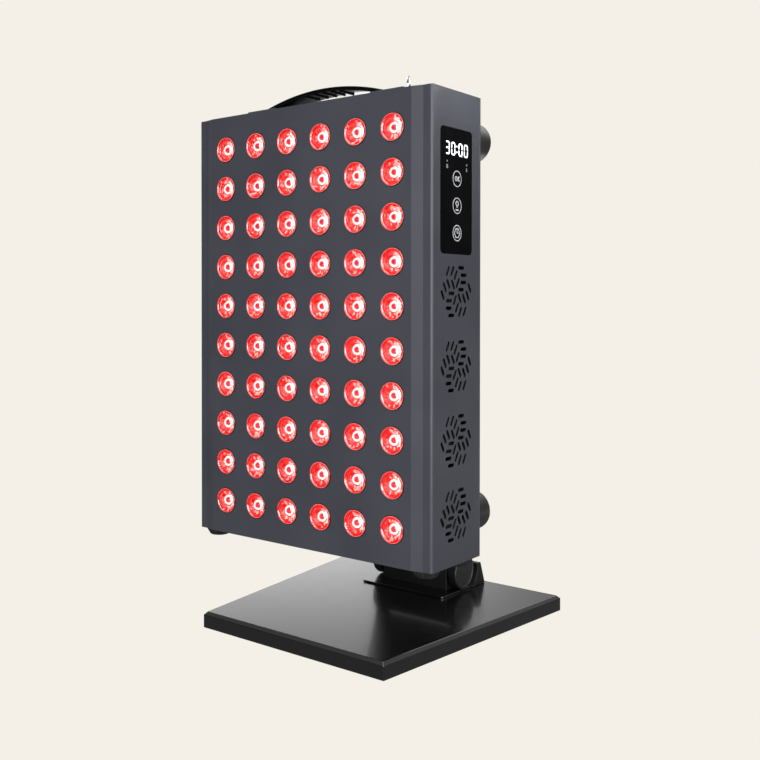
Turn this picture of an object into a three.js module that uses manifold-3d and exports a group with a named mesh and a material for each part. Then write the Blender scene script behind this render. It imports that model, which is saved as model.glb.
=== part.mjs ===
// Red light therapy panel on a tilting table stand. Millimetres, +Z up.
// The origin is on the table, under the middle of the base plate; the lenses face -Y.
import * as THREE from 'three';
import { mergeVertices } from 'three/addons/utils/BufferGeometryUtils.js';
import Module from 'manifold-3d';

const wasm = await Module();
wasm.setup();
const degrees = THREE.MathUtils.degToRad;

// Driving sizes of the whole object
const panelWidth = 261;
const panelHeight = 384.5;
const panelDepth = 76;
const panelGap = 69.5; // from the base plate's top to the panel's underside
const panelSetback = 22; // from the base plate's front edge to the panel's front face
const baseFrontWidth = 203;
const baseRearWidth = 258;
const baseDepth = 254;
const baseThickness = 14.5;
const padProud = 1.5; // rubber pads below the base cover
const clearance = 0.3; // between pieces that touch
const overrun = 1; // how far a cutting tool passes a face
const sink = 0.4; // how deep joined forms run into each other
const smallSides = 8; // facets round screws, pins and their holes
const mediumSides = 12; // facets round feet, bumpers and fans
const hingeSides = 20; // facets round the hinge cheeks

// Housing, made of folded sheet
const sheet = 1.5;
const sideStripWidth = 8.7; // between the raised face's bevel and the side wall
const faceBevelWidth = 9.8;
const faceHalfWidth = panelWidth / 2 - sideStripWidth - faceBevelWidth;
const faceProud = 2.4; // the raised face stands in front of the side strips
const foldRadius = 2.4; // between a side strip and its wall
const foldSteps = 2;
const rearLip = 11;
const capFlange = 8;

// Lenses and LED strips
const columns = 6;
const rows = 10;
const lensSideMargin = 18.25; // from the outer columns to the raised face's edges
const lensEndMargin = 30.25; // from the outer rows to the panel's ends
const columnPitch = (2 * (faceHalfWidth - lensSideMargin)) / (columns - 1);
const rowPitch = (panelHeight - 2 * lensEndMargin) / (rows - 1);
const lensRadius = 11.45;
const lensProud = 2.6;
const lensShoulder = 0.7; // height of the lens's upright edge above the face
const lensCrownRadius = 8.2;
const lensSides = 8;
const boardSetback = 7.6; // LED boards behind the face
const boardThickness = 1.6;
const boardWidth = 24;
const boardEnd = 12; // board left past the outer lenses' centres

// Heat sink
const sinkPlate = 4;
const sinkSideGap = 25.5; // to the panel's sides, with room for the fans
const sinkEndGap = 14.25; // to the panel's ends
const sinkHalfWidth = panelWidth / 2 - sinkSideGap;
const sinkHalfHeight = panelHeight / 2 - sinkEndGap;
const finCount = 14;
const finThickness = 2.2;
const finRearRoom = 50; // of the panel's depth, for what lies before and behind the fins
const finDepth = panelDepth - finRearRoom;

// Control glass and its board
const glassWidth = 48;
const glassHeight = 101;
const glassThickness = 3.2;
const glassTopGap = 30.95; // to the panel's top
const glassRise = panelHeight / 2 - glassTopGap - glassHeight / 2; // glass centre above the panel's centre
const glassCornerRadius = 4;
const controlBoardInset = 2;
const controlBoardThickness = 1.6;

// Fans behind the right side, spread evenly below the glass and as large as the panel's depth allows
const fanCount = 4;
const fanDepth = 20;
const fanGap = 0.4;
const fanBottomGap = 11.05; // to the panel's underside
const fanWallRoom = 16; // of the panel's depth, before and behind a fan
const fanZone = panelHeight / 2 + glassRise - glassHeight / 2 - clearance - fanBottomGap;
const fanPitch = (fanZone + fanGap) / fanCount;
const fanSize = Math.min(fanPitch - fanGap, panelDepth - fanWallRoom);
const topFanRise = glassRise - glassHeight / 2 - clearance - (fanPitch - fanGap) / 2; // above the panel's centre
const fanRim = 1.5; // least wall of the frame round its bore
const fanBoreRadius = fanSize / 2 - fanRim;
const fanWeb = 2.5;
const fanCornerRadius = 4;
const fanArms = 4;
const fanArmWidth = 5;
const fanHoleRadius = 2.2;
const fanHoleInset = 5;
const fanHoleSpacing = fanSize - 2 * fanHoleInset;
const hubRadiusShare = 0.456; // of the bore's radius
const hubRadius = fanBoreRadius * hubRadiusShare;
const hubDepth = 14;
const bladeCount = 7;
const bladeTipGap = 1.6; // to the frame's bore
const bladeThickness = 1.4;
const bladeDepth = 10;
const bladePitch = degrees(38);

// Vent rosettes: six sectors of four parallel slots, each slot's place as shares of the reach
const rosetteSectors = 6;
const rosetteReachShare = 0.4; // of the fan's size
const rosetteReach = fanSize * rosetteReachShare;
const slotLengthShare = 0.375; // of the rosette's reach
const slotWidthShare = 0.121;
const slotLength = rosetteReach * slotLengthShare;
const slotWidth = rosetteReach * slotWidthShare;
const slotPlaceShares = [[0.3, 0.065], [0.455, 0.31], [0.47, 0.555], [0.315, 0.8]];

// Air inlet slots in the left side
const intakeSlotCount = 10;
const intakeSlotLength = 44;
const intakeSlotWidth = 6;
const intakeSlotPitch = (fanCount * fanPitch) / intakeSlotCount;

// Handle, its pad and the hanging eyes
const padEndGap = 42.5; // to the panel's sides
const padHalfLength = panelWidth / 2 - padEndGap;
const padHeight = 7.2; // of the raised block at each end
const padBlockLength = 34;
const padPlateHeight = 3; // between the blocks
const padWidth = 31;
const padBevel = 1.2;
const handleEndGap = 22; // to the pad's ends
const handleHalfLength = padHalfLength - handleEndGap;
const handleRise = 10.7; // crown of the strap above its ends
const handleWidth = 24;
const handleThickness = 3.5;
const handleSteps = 16;
const handleRibs = 5;
const handleRibPitch = 9.7;
const handleRibWidth = 2.2;
const handleRibDepth = 2;
const eyeSideInset = 66.1; // from the panel's sides
const eyeRearInset = 10; // from the panel's rear
const eyeHalfSpacing = panelWidth / 2 - eyeSideInset;
const eyeSetback = panelDepth - eyeRearInset; // behind the panel's front face
const eyeRise = 19.8; // ring's centre above the panel's top
const eyeRingRadius = 5.5;
const eyeWireRadius = 1;
const eyeShankRadius = 1.8;
const eyeCollarRadius = 3.2;
const eyeCollarHeight = 2.4;
const eyeTail = 9;
const eyeTurn = -35; // degrees about the shank

// Rubber bumpers and feet
const bumperRadius = 17;
const bumperLength = 24;
const bumperRound = 4;
const bumperWellRadius = 4;
const bumperWellDepth = 14;
const bumperSideInset = 19.2; // from the panel's sides
const bumperEndInset = 33.75; // from the panel's ends
const bumperHalfSpacing = panelWidth / 2 - bumperSideInset;
const bumperHalfRise = panelHeight / 2 - bumperEndInset;
const footRadius = 11.5;
const footHeight = 6;
const footTaper = 3;
const footSideInset = 13.4; // from the panel's sides
const footHalfSpacing = panelWidth / 2 - footSideInset;
const footInset = 14.5; // from the panel's front and rear faces

// Mains inlet
const inletSideGap = 44.5; // from its middle to the panel's left side
const inletBottomGap = 74.25; // from its middle to the panel's underside
const inletShift = inletSideGap - panelWidth / 2;
const inletRise = inletBottomGap - panelHeight / 2;
const inletFlangeWidth = 50;
const inletFlangeHeight = 28;
const inletFlangeThickness = 2.5;
const inletBodyWidth = 28;
const inletBodyHeight = 20.5;
const inletBodyDepth = 24;
const inletWall = 2;
const inletSocketDepth = 19;
const inletPinWidth = 4;
const inletPinThickness = 2;
const inletPinLength = 11;
const inletPinSpacing = 14;
const inletPinRise = 3;

// Rocker switch
const switchSpacing = 34; // above the inlet
const switchRise = inletRise + switchSpacing;
const switchFlangeWidth = 21;
const switchFlangeHeight = 27;
const switchFlangeThickness = 2;
const switchBodyWidth = 18.5;
const switchBodyHeight = 24.5;
const switchBodyDepth = 18;
const switchWall = 2.2;
const rockerDepth = 6;
const rockerSetback = 2.6; // its pivot behind the bezel's face
const rockerEndGap = 0.9;
const rockerThrow = degrees(9); // each way from level
const rockerDish = degrees(9);

// Panel bracket and its screws
const bracketSize = 116;
const bracketThickness = 4;
const bracketCornerRadius = 8;
const bracketHoleSpacing = 100;
const screwRadius = 2.5;
const screwLength = 12;
const screwHeadRadius = 4.4;
const screwHeadHeight = 4;
const hexKeyRadius = 2;
const hexKeyDepth = 2.2;
const insertRadius = 4.6;
const insertDepth = 4;

// LED driver on the rear cover, above the bracket's inserts
const driverSideRoom = 101; // of the panel's width, beside the driver
const driverTopGap = 22.25; // to the panel's top
const driverBottomGap = 31.4; // to the bracket's upper inserts
const driverTop = panelHeight / 2 - driverTopGap;
const driverBottom = bracketHoleSpacing / 2 + insertRadius + driverBottomGap;
const driverLength = panelWidth - driverSideRoom;
const driverHeight = driverTop - driverBottom;
const driverRise = (driverTop + driverBottom) / 2;
const driverDepth = 28;
const driverShift = -15; // sideways from the panel's middle
const driverLug = 8;
const driverLugThickness = 2;

// Hinges at both ends of the arm
const lowerAxisSetback = 185.7; // behind the panel's front face
const lowerAxisRise = 19.2; // above the base plate's top
const upperAxisGap = 23; // behind the panel's rear cover
const cheekRadius = 17;
const cheekThickness = 5.8;
const knuckleRadius = 14.7;
const knuckleHalfWidth = 37.6;
const bossRadius = 12;
const bossHeight = 3.6;
const hingeCapThickness = 2.4;
const hingeCapRound = 0.9;
const shaftRadius = 5;
const shaftHeadRadius = 9;
const cheekRecess = 3; // wells for the shaft's head and nut
const nutRadius = 8.6;

// Arm
const armThickness = 16;
const armEndGap = 18; // from each hinge axis to the arm's web
const armWall = 3;
const armPocketInset = 10;
const armCoverThickness = 2;
const armRebate = 2.5;
const armRibs = 3;

// Hinge saddle on the base
const saddleHalfWidth = 48;
const saddleFront = 37.3; // ahead of the hinge axis
const saddleRear = 40.3; // behind the hinge axis
const saddleFlange = 1.5;
const saddleCornerRadius = 4;
const saddleSeatGap = 7; // round the arm's cheeks
const rearBlockHalfWidth = 50;
const rearBlockRise = 3; // above the hinge axis
const rearBlockTop = 6.3; // depth of its flat top
const rearBlockSlope = 8.2; // its foot runs back past its top

// Base plate
const baseBevel = 2.8;
const baseWall = 3;
const basePadRadius = 11;
const basePadSeat = 1.5;
const basePadInset = 20;

// Places worked out from the sizes above
const baseTop = padProud + baseThickness;
const panelFrontY = panelSetback - baseDepth / 2;
const panelCentreZ = baseTop + panelGap + panelHeight / 2;
const lowerAxisY = panelFrontY + lowerAxisSetback;
const lowerAxisZ = baseTop + lowerAxisRise;
const upperAxisY = panelFrontY + panelDepth + upperAxisGap;
const armLength = Math.hypot(lowerAxisY - upperAxisY, panelCentreZ - lowerAxisZ);
const armLean = Math.atan2(lowerAxisY - upperAxisY, panelCentreZ - lowerAxisZ);
const cheekInner = knuckleHalfWidth + bossHeight + clearance;
const cheekOuter = cheekInner + cheekThickness;
const middleY = panelDepth / 2; // of the panel's sides, behind its front face
const coverFront = panelDepth - sheet;
const lowestFanRise = topFanRise - (fanCount - 1) * fanPitch;

// Materials
const finish = (color, roughness, metalness) => new THREE.MeshStandardMaterial({ color, roughness, metalness });
const graphitePaint = finish(0x484a4f, 0.45, 0.3);
const blackPaint = finish(0x17181a, 0.3, 0.4);
const blackPlastic = finish(0x1a1a1c, 0.6, 0);
const redLens = finish(0xe01818, 0.12, 0);
const aluminium = finish(0xb4b6b8, 0.4, 0.9);
const darkRubber = finish(0x222222, 0.85, 0);
const chrome = finish(0xd8d8da, 0.12, 1);
const zincSteel = finish(0xa8a9ab, 0.35, 1);
const blackGlass = finish(0x08080a, 0.06, 0.1);
const greenBoard = finish(0x1f5a34, 0.6, 0);
const ballastIron = finish(0x55565a, 0.7, 0.8);

// Turns a closed three.js geometry into a solid that can be joined and cut
function toSolid(geometry) {
  const bare = geometry.index ? geometry.toNonIndexed() : geometry.clone();
  bare.deleteAttribute('normal');
  bare.deleteAttribute('uv');
  const merged = mergeVertices(bare, 1e-4);
  return new wasm.Manifold(new wasm.Mesh({
    numProp: 3,
    vertProperties: new Float32Array(merged.attributes.position.array),
    triVerts: new Uint32Array(merged.index.array),
  }));
}

// Turns a solid back into a flat-shaded three.js mesh
function piece(name, solid, material) {
  const { vertProperties, triVerts } = solid.getMesh();
  const geometry = new THREE.BufferGeometry();
  geometry.setAttribute('position', new THREE.BufferAttribute(new Float32Array(vertProperties), 3));
  geometry.setIndex(new THREE.BufferAttribute(new Uint32Array(triVerts), 1));
  const flat = geometry.toNonIndexed();
  flat.computeVertexNormals();
  const mesh = new THREE.Mesh(flat, material);
  mesh.name = name;
  return mesh;
}

const joined = (solids) => wasm.Manifold.union(solids);

const axisX = new THREE.Vector3(1, 0, 0);
const axisY = new THREE.Vector3(0, 1, 0);
const axisZ = new THREE.Vector3(0, 0, 1);

function extrude(shape, depth, curveSegments) {
  return new THREE.ExtrudeGeometry(shape, { depth, bevelEnabled: false, curveSegments });
}

// An outline in X and Y, extruded up
function alongZ(shape, from, to, curveSegments) {
  return toSolid(extrude(shape, to - from, curveSegments).translate(0, 0, from));
}

// An outline in Y and Z, extruded from left to right
function alongX(shape, from, to, curveSegments) {
  const turn = new THREE.Matrix4().makeBasis(axisY, axisZ, axisX);
  return toSolid(extrude(shape, to - from, curveSegments).applyMatrix4(turn).translate(from, 0, 0));
}

// An outline in X and Z, extruded from front to back
function alongY(shape, from, to, curveSegments) {
  const turn = new THREE.Matrix4().makeBasis(axisX, axisZ, axisY.clone().negate());
  return toSolid(extrude(shape, to - from, curveSegments).applyMatrix4(turn).translate(0, to, 0));
}

function polygon(points) {
  return new THREE.Shape(points.map(([x, y]) => new THREE.Vector2(x, y)));
}

function rectangle(x0, y0, x1, y1) {
  return polygon([[x0, y0], [x1, y0], [x1, y1], [x0, y1]]);
}

function centred(width, height, cx = 0, cy = 0) {
  return rectangle(cx - width / 2, cy - height / 2, cx + width / 2, cy + height / 2);
}

function roundedRectangle(width, height, radius, cx = 0, cy = 0) {
  const right = width / 2 - radius;
  const top = height / 2 - radius;
  const shape = new THREE.Shape();
  shape.absarc(cx + right, cy - top, radius, -Math.PI / 2, 0);
  shape.absarc(cx + right, cy + top, radius, 0, Math.PI / 2);
  shape.absarc(cx - right, cy + top, radius, Math.PI / 2, Math.PI);
  shape.absarc(cx - right, cy - top, radius, Math.PI, 1.5 * Math.PI);
  return shape;
}

// A round bar along the axis named x, y or z
function bar(direction, radius, from, to, sides, cx = 0, cy = 0) {
  const geometry = new THREE.CylinderGeometry(radius, radius, to - from, sides);
  const middle = (from + to) / 2;
  if (direction === 'x') geometry.rotateZ(-Math.PI / 2).translate(middle, cx, cy);
  if (direction === 'y') geometry.translate(cx, middle, cy);
  if (direction === 'z') geometry.rotateX(Math.PI / 2).translate(cx, cy, middle);
  return toSolid(geometry);
}

// A turned form about the Y axis, from pairs of radius and depth in rising depth
function turned(profile, sides) {
  return toSolid(new THREE.LatheGeometry(profile.map(([radius, depth]) => new THREE.Vector2(radius, depth)), sides));
}

// Calls back at the four corners of a square or rectangle
function atCorners(halfWidth, halfHeight, make) {
  return [[-1, -1], [1, -1], [1, 1], [-1, 1]].map(([sx, sz]) => make(sx * halfWidth, sz * halfHeight));
}

// Housing section in X and Y, closed across the rear and offset inwards from the outer surface
function housingSection(inset, rear) {
  const radius = Math.max(foldRadius - inset, 0);
  const side = panelWidth / 2 - inset;
  const strip = faceProud + inset;
  const shift = inset * Math.tan(Math.atan2(faceProud, faceBevelWidth) / 2);
  const right = [[faceHalfWidth - shift, inset], [faceHalfWidth + faceBevelWidth - shift, strip]];
  for (let i = 0; i <= foldSteps; i++) {
    const turn = (Math.PI / 2) * (i / foldSteps);
    right.push([side - radius + radius * Math.sin(turn), strip + radius - radius * Math.cos(turn)]);
  }
  right.push([side, rear]);
  const left = right.map(([x, y]) => [-x, y]).reverse();
  return polygon([...right, ...left]);
}

function lensPlaces() {
  const places = [];
  for (let column = 0; column < columns; column++) {
    for (let row = 0; row < rows; row++) {
      const x = (column - (columns - 1) / 2) * columnPitch;
      const z = ((rows - 1) / 2 - row) * rowPitch;
      places.push({ column, x, z });
    }
  }
  return places;
}

const fanRise = (index) => topFanRise - index * fanPitch;

// Slot cut through a side wall, about the X axis
const slotCutter = (length, width) => alongX(centred(length, width), -overrun, sheet + overrun);

function rosetteCutter() {
  const slot = slotCutter(slotLength, slotWidth);
  const sector = slotPlaceShares.map(([along, across]) => (
    slot.translate([0, along * rosetteReach, across * rosetteReach])
  ));
  const cutters = [];
  for (let i = 0; i < rosetteSectors; i++) {
    cutters.push(joined(sector).rotate([(i / rosetteSectors) * 360, 0, 0]));
  }
  return joined(cutters);
}

function glassOutline(margin) {
  return roundedRectangle(
    glassWidth + 2 * margin,
    glassHeight + 2 * margin,
    glassCornerRadius + margin,
    middleY,
    glassRise,
  );
}

// Openings of the housing's two side walls
function sideCutters() {
  const wall = panelWidth / 2 - sheet;
  const cutters = [alongX(glassOutline(clearance), wall - overrun, panelWidth / 2 + overrun, 2)];
  for (let i = 0; i < fanCount; i++) {
    cutters.push(rosetteCutter().translate([wall, middleY, fanRise(i)]));
  }
  const intake = slotCutter(intakeSlotLength, intakeSlotWidth);
  const centre = (topFanRise + lowestFanRise) / 2;
  for (let i = 0; i < intakeSlotCount; i++) {
    const z = centre + (i - (intakeSlotCount - 1) / 2) * intakeSlotPitch;
    cutters.push(intake.translate([-panelWidth / 2, middleY, z]));
  }
  return cutters;
}

// Folded housing: raised face with lens holes, side strips, side walls and rear lips
function housing() {
  const half = panelHeight / 2;
  const rear = coverFront - clearance;
  const outer = alongZ(housingSection(0, rear), -half, half);
  const hollow = alongZ(housingSection(sheet, rear - sheet), -half - overrun, half + overrun);
  const mouth = rectangle(rearLip - panelWidth / 2, rear - sheet - overrun, panelWidth / 2 - rearLip, rear + overrun);
  const holes = lensPlaces().map(({ x, z }) => (
    bar('y', lensRadius + clearance, -overrun, sheet + overrun, lensSides, x, z)
  ));
  const cutters = [hollow, alongZ(mouth, -half - overrun, half + overrun), ...holes, ...sideCutters()];
  return outer.subtract(joined(cutters));
}

// Shallow tray that closes one end of the housing, made for the top
function endTray() {
  const half = panelHeight / 2;
  const rear = coverFront - sheet - 2 * clearance;
  const outer = alongZ(housingSection(sheet + clearance, rear), half - capFlange, half);
  const inner = housingSection(2 * sheet + clearance, rear - sheet);
  return outer.subtract(alongZ(inner, half - capFlange - overrun, half - sheet));
}

function topCap() {
  const half = panelHeight / 2;
  const hole = (x) => bar('z', eyeShankRadius + clearance, half - sheet - overrun, half + overrun, smallSides, x, eyeSetback);
  return endTray().subtract(joined([hole(-eyeHalfSpacing), hole(eyeHalfSpacing)]));
}

const bottomCap = () => endTray().rotate([0, 180, 0]);

// Flat rear cover with pressed-in thread inserts and the openings for inlet and switch
function rearCover() {
  const holeHalf = bracketHoleSpacing / 2;
  const plate = alongY(centred(panelWidth, panelHeight), coverFront, panelDepth);
  const inserts = atCorners(holeHalf, holeHalf, (x, z) => (
    bar('y', insertRadius, coverFront - insertDepth, coverFront + sink, smallSides, x, z)
  ));
  const threads = atCorners(holeHalf, holeHalf, (x, z) => (
    bar('y', screwRadius + clearance, coverFront - insertDepth - overrun, panelDepth + overrun, smallSides, x, z)
  ));
  const opening = (width, height, x, z) => alongY(
    centred(width + 2 * clearance, height + 2 * clearance, x, z),
    coverFront - overrun,
    panelDepth + overrun,
  );
  const inlet = opening(inletBodyWidth, inletBodyHeight, inletShift, inletRise);
  const rockerSwitch = opening(switchBodyWidth, switchBodyHeight, inletShift, switchRise);
  return joined([plate, ...inserts]).subtract(joined([...threads, inlet, rockerSwitch]));
}

// One board with its column of lenses, each a light guide with a low bevelled crown
function ledStrip(column) {
  const half = ((rows - 1) / 2) * rowPitch + boardEnd;
  const lens = turned([
    [0, -lensProud],
    [lensCrownRadius, -lensProud],
    [lensRadius, -lensShoulder],
    [lensRadius, boardSetback + sink],
    [0, boardSetback + sink],
  ], lensSides);
  const places = lensPlaces().filter((place) => place.column === column);
  const board = alongY(centred(boardWidth, 2 * half, places[0].x), boardSetback, boardSetback + boardThickness);
  return joined([board, ...places.map(({ x, z }) => lens.translate([x, 0, z]))]);
}

// Extruded heat sink with level fins, so that air crosses from side to side
function heatSink() {
  const front = boardSetback + boardThickness + clearance;
  const back = front + sinkPlate;
  const pitch = (2 * sinkHalfHeight - finThickness) / (finCount - 1);
  const points = [[front, -sinkHalfHeight]];
  for (let i = 0; i < finCount; i++) {
    const z = i * pitch - sinkHalfHeight;
    if (i > 0) points.push([back, z]);
    points.push([back + finDepth, z], [back + finDepth, z + finThickness]);
    if (i < finCount - 1) points.push([back, z + finThickness]);
  }
  points.push([front, sinkHalfHeight]);
  return alongX(polygon(points), -sinkHalfWidth, sinkHalfWidth);
}

// Fan frame about its own axis along X, with its outlet face at zero
function fanFrame() {
  const block = alongX(roundedRectangle(fanSize, fanSize, fanCornerRadius), -fanDepth, 0, 1);
  const bore = bar('x', fanBoreRadius, -fanDepth - overrun, overrun, mediumSides);
  const arms = [];
  const reach = fanBoreRadius + sink;
  for (let i = 0; i < fanArms; i++) {
    const arm = alongX(rectangle(0, -fanArmWidth / 2, reach, fanArmWidth / 2), -fanDepth, fanWeb - fanDepth);
    arms.push(arm.rotate([(i + 1 / 2) * (360 / fanArms), 0, 0]));
  }
  const boss = bar('x', hubRadius, -fanDepth, fanWeb - fanDepth, smallSides);
  const holeHalf = fanHoleSpacing / 2;
  const holes = atCorners(holeHalf, holeHalf, (y, z) => (
    bar('x', fanHoleRadius, -fanDepth - overrun, overrun, smallSides / 2, y, z)
  ));
  return joined([block.subtract(bore), boss, ...arms]).subtract(joined(holes));
}

// Rotor: a drum hub with pitched blades
function fanRotor() {
  const start = fanWeb + clearance - fanDepth;
  const end = start + hubDepth;
  const tipRadius = fanBoreRadius - bladeTipGap;
  const blades = [];
  for (let i = 0; i < bladeCount; i++) {
    const blade = new THREE.BoxGeometry(bladeDepth / Math.cos(bladePitch), tipRadius, bladeThickness)
      .rotateY(bladePitch)
      .translate((start + end) / 2, tipRadius / 2, 0)
      .rotateX((i / bladeCount) * 2 * Math.PI);
    blades.push(toSolid(blade));
  }
  const hub = bar('x', hubRadius, start, end, 2 * bladeCount);
  return joined([hub, ...blades]);
}

const controlGlass = () => alongX(glassOutline(0), panelWidth / 2 - glassThickness, panelWidth / 2, 2);

function controlBoard() {
  const back = panelWidth / 2 - glassThickness - clearance;
  const outline = centred(glassWidth - 2 * controlBoardInset, glassHeight - 2 * controlBoardInset, middleY, glassRise);
  return alongX(outline, back - controlBoardThickness, back);
}

// Sheet-metal driver case with a fixing lug at each end, on the rear cover's inner face
function ledDriver() {
  const back = coverFront - clearance;
  const block = alongY(centred(driverLength, driverHeight, driverShift, driverRise), back - driverDepth, back);
  const lugs = centred(driverLength + 2 * driverLug, driverHeight / 2, driverShift, driverRise);
  return joined([block, alongY(lugs, back - driverLugThickness, back)]);
}

// Moulded handle base: a low plate with a raised block at each end, on which the strap's ends rest
function handlePad() {
  const side = padWidth / 2;
  const slab = (height, from, to) => alongX(polygon([
    [-side, clearance],
    [side, clearance],
    [side, height - padBevel],
    [side - padBevel, height],
    [padBevel - side, height],
    [-side, height - padBevel],
  ]), from, to);
  return joined([
    slab(padPlateHeight, -padHalfLength, padHalfLength),
    slab(padHeight, -padHalfLength, padBlockLength - padHalfLength),
    slab(padHeight, padHalfLength - padBlockLength, padHalfLength),
  ]).translate([0, middleY, panelHeight / 2]);
}

// Arched strap of even thickness whose ends are cut flat on the pad, with grip ribs across its underside
function handle() {
  const seatHeight = padHeight + clearance;
  const crown = (x) => seatHeight + handleRise * (1 - (x / handleHalfLength) ** 2);
  const upper = [];
  const lower = [];
  for (let i = 0; i <= handleSteps; i++) {
    const x = handleHalfLength * ((2 * i) / handleSteps - 1);
    const slope = Math.atan((-2 * handleRise * x) / handleHalfLength ** 2);
    upper.push([x, crown(x)]);
    lower.push([x + handleThickness * Math.sin(slope), crown(x) - handleThickness * Math.cos(slope)]);
  }
  const band = alongY(polygon([...upper, ...lower.reverse()]), -handleWidth / 2, handleWidth / 2);
  const ribs = [];
  for (let i = 0; i < handleRibs; i++) {
    const x = (i - (handleRibs - 1) / 2) * handleRibPitch;
    const under = crown(x) - handleThickness;
    const rib = rectangle(x - handleRibWidth / 2, under - handleRibDepth, x + handleRibWidth / 2, under + sink);
    ribs.push(alongY(rib, -handleWidth / 2, handleWidth / 2));
  }
  const below = rectangle(-padHalfLength, -handleThickness, padHalfLength, seatHeight);
  const cut = alongY(below, -handleWidth, handleWidth);
  return joined([band, ...ribs]).subtract(cut).translate([0, middleY, panelHeight / 2]);
}

// Hanging eye: a ring on a shank, with a collar that sits on the top cap
function hangingEye(side) {
  const ring = toSolid(new THREE.TorusGeometry(eyeRingRadius, eyeWireRadius, smallSides - 2, mediumSides).rotateX(Math.PI / 2));
  const shank = bar('z', eyeShankRadius, -eyeTail, eyeRise - eyeRingRadius, smallSides);
  const collar = bar('z', eyeCollarRadius, clearance, clearance + eyeCollarHeight, smallSides);
  return joined([ring.translate([0, 0, eyeRise]), shank, collar])
    .rotate([0, 0, side * eyeTurn])
    .translate([side * eyeHalfSpacing, eyeSetback, panelHeight / 2]);
}

// Rubber bumper with a rounded rim and a screw well
function bumper(sideX, sideZ) {
  const end = panelDepth + bumperLength;
  const profile = [[0, panelDepth + clearance], [bumperRadius, panelDepth + clearance]];
  for (let i = 0; i <= foldSteps; i++) {
    const turn = (Math.PI / 2) * (i / foldSteps);
    profile.push([
      bumperRadius - bumperRound * (1 - Math.cos(turn)),
      end - bumperRound * (1 - Math.sin(turn)),
    ]);
  }
  profile.push([bumperWellRadius, end], [bumperWellRadius, end - bumperWellDepth], [0, end - bumperWellDepth]);
  return turned(profile, mediumSides).translate([sideX * bumperHalfSpacing, 0, sideZ * bumperHalfRise]);
}

function foot(sideX, y) {
  const top = -panelHeight / 2 - clearance;
  const cone = new THREE.CylinderGeometry(footRadius, footRadius - footTaper, footHeight, mediumSides)
    .rotateX(Math.PI / 2)
    .translate(sideX * footHalfSpacing, y, top - footHeight / 2);
  return toSolid(cone);
}

// Mains inlet: flanged body with a blind socket and three flat pins
function mainsInlet() {
  const seat = panelDepth + clearance;
  const face = seat + inletFlangeThickness;
  const floor = face - inletSocketDepth;
  const block = (width, height, from, to) => alongY(centred(width, height, inletShift, inletRise), from, to);
  const socketWidth = inletBodyWidth - 2 * inletWall;
  const socketHeight = inletBodyHeight - 2 * inletWall;
  const shell = joined([
    block(inletFlangeWidth, inletFlangeHeight, seat, face),
    block(inletBodyWidth, inletBodyHeight, face - inletBodyDepth, face),
  ]).subtract(block(socketWidth, socketHeight, floor, face + overrun));
  const pins = [[-1, -1], [1, -1], [0, 1]].map(([sideX, sideZ]) => alongY(
    centred(
      inletPinThickness,
      inletPinWidth,
      inletShift + (sideX * inletPinSpacing) / 2,
      inletRise + sideZ * inletPinRise,
    ),
    floor - sink,
    floor + inletPinLength,
  ));
  return joined([shell, ...pins]);
}

const switchFace = panelDepth + clearance + switchFlangeThickness;

// Bezel and body of the rocker switch, with a well for the rocker
function switchBezel() {
  const block = (width, height, from, to) => alongY(centred(width, height, inletShift, switchRise), from, to);
  const wellFloor = switchFace - rockerSetback - rockerDepth - 2 * switchWall;
  return joined([
    block(switchFlangeWidth, switchFlangeHeight, panelDepth + clearance, switchFace),
    block(switchBodyWidth, switchBodyHeight, switchFace - switchBodyDepth, switchFace),
  ]).subtract(block(
    switchBodyWidth - 2 * switchWall,
    switchBodyHeight - 2 * switchWall,
    wellFloor,
    switchFace + overrun,
  ));
}

// Rocker about its own pivot, dished between its two ends; at rest its upper end is pressed, which is on
function powerRocker() {
  const halfWidth = switchBodyWidth / 2 - switchWall - clearance;
  const end = switchBodyHeight / 2 - switchWall - rockerEndGap;
  const lip = rockerSetback + end * Math.tan(rockerDish);
  const section = polygon([
    [-rockerDepth, -end / 2],
    [0, -end],
    [lip, -end],
    [rockerSetback, 0],
    [lip, end],
    [0, end],
    [-rockerDepth, end / 2],
  ]);
  return alongX(section, -halfWidth, halfWidth).rotate([THREE.MathUtils.radToDeg(rockerThrow), 0, 0]);
}

const shaftBore = () => bar('x', shaftRadius + clearance, -cheekOuter - overrun, cheekOuter + overrun, hingeSides / 2);

const thrustBosses = () => bar('x', bossRadius, clearance - cheekInner, cheekInner - clearance, hingeSides / 2);

// Fixed knuckle about a hinge axis: round on one side and flat on the side that it stands on, in Y and Z
function knuckle(reach) {
  const shape = new THREE.Shape();
  shape.moveTo(-reach, -knuckleRadius);
  shape.absarc(0, 0, knuckleRadius, -Math.PI / 2, Math.PI / 2);
  shape.lineTo(-reach, knuckleRadius);
  return joined([alongX(shape, -knuckleHalfWidth, knuckleHalfWidth, hingeSides / 4), thrustBosses()]);
}

// Panel bracket about the upper hinge axis: a square plate with the fixed knuckle on its back
function panelBracket() {
  const front = clearance - upperAxisGap;
  const plate = roundedRectangle(bracketSize, bracketSize, bracketCornerRadius);
  const holeHalf = bracketHoleSpacing / 2;
  const holes = atCorners(holeHalf, holeHalf, (x, z) => (
    bar('y', screwRadius + clearance, front - overrun, front + bracketThickness + overrun, smallSides, x, z)
  ));
  return joined([alongY(plate, front, front + bracketThickness, 2), knuckle(-front - sink)])
    .subtract(joined([shaftBore(), ...holes]));
}

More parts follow.
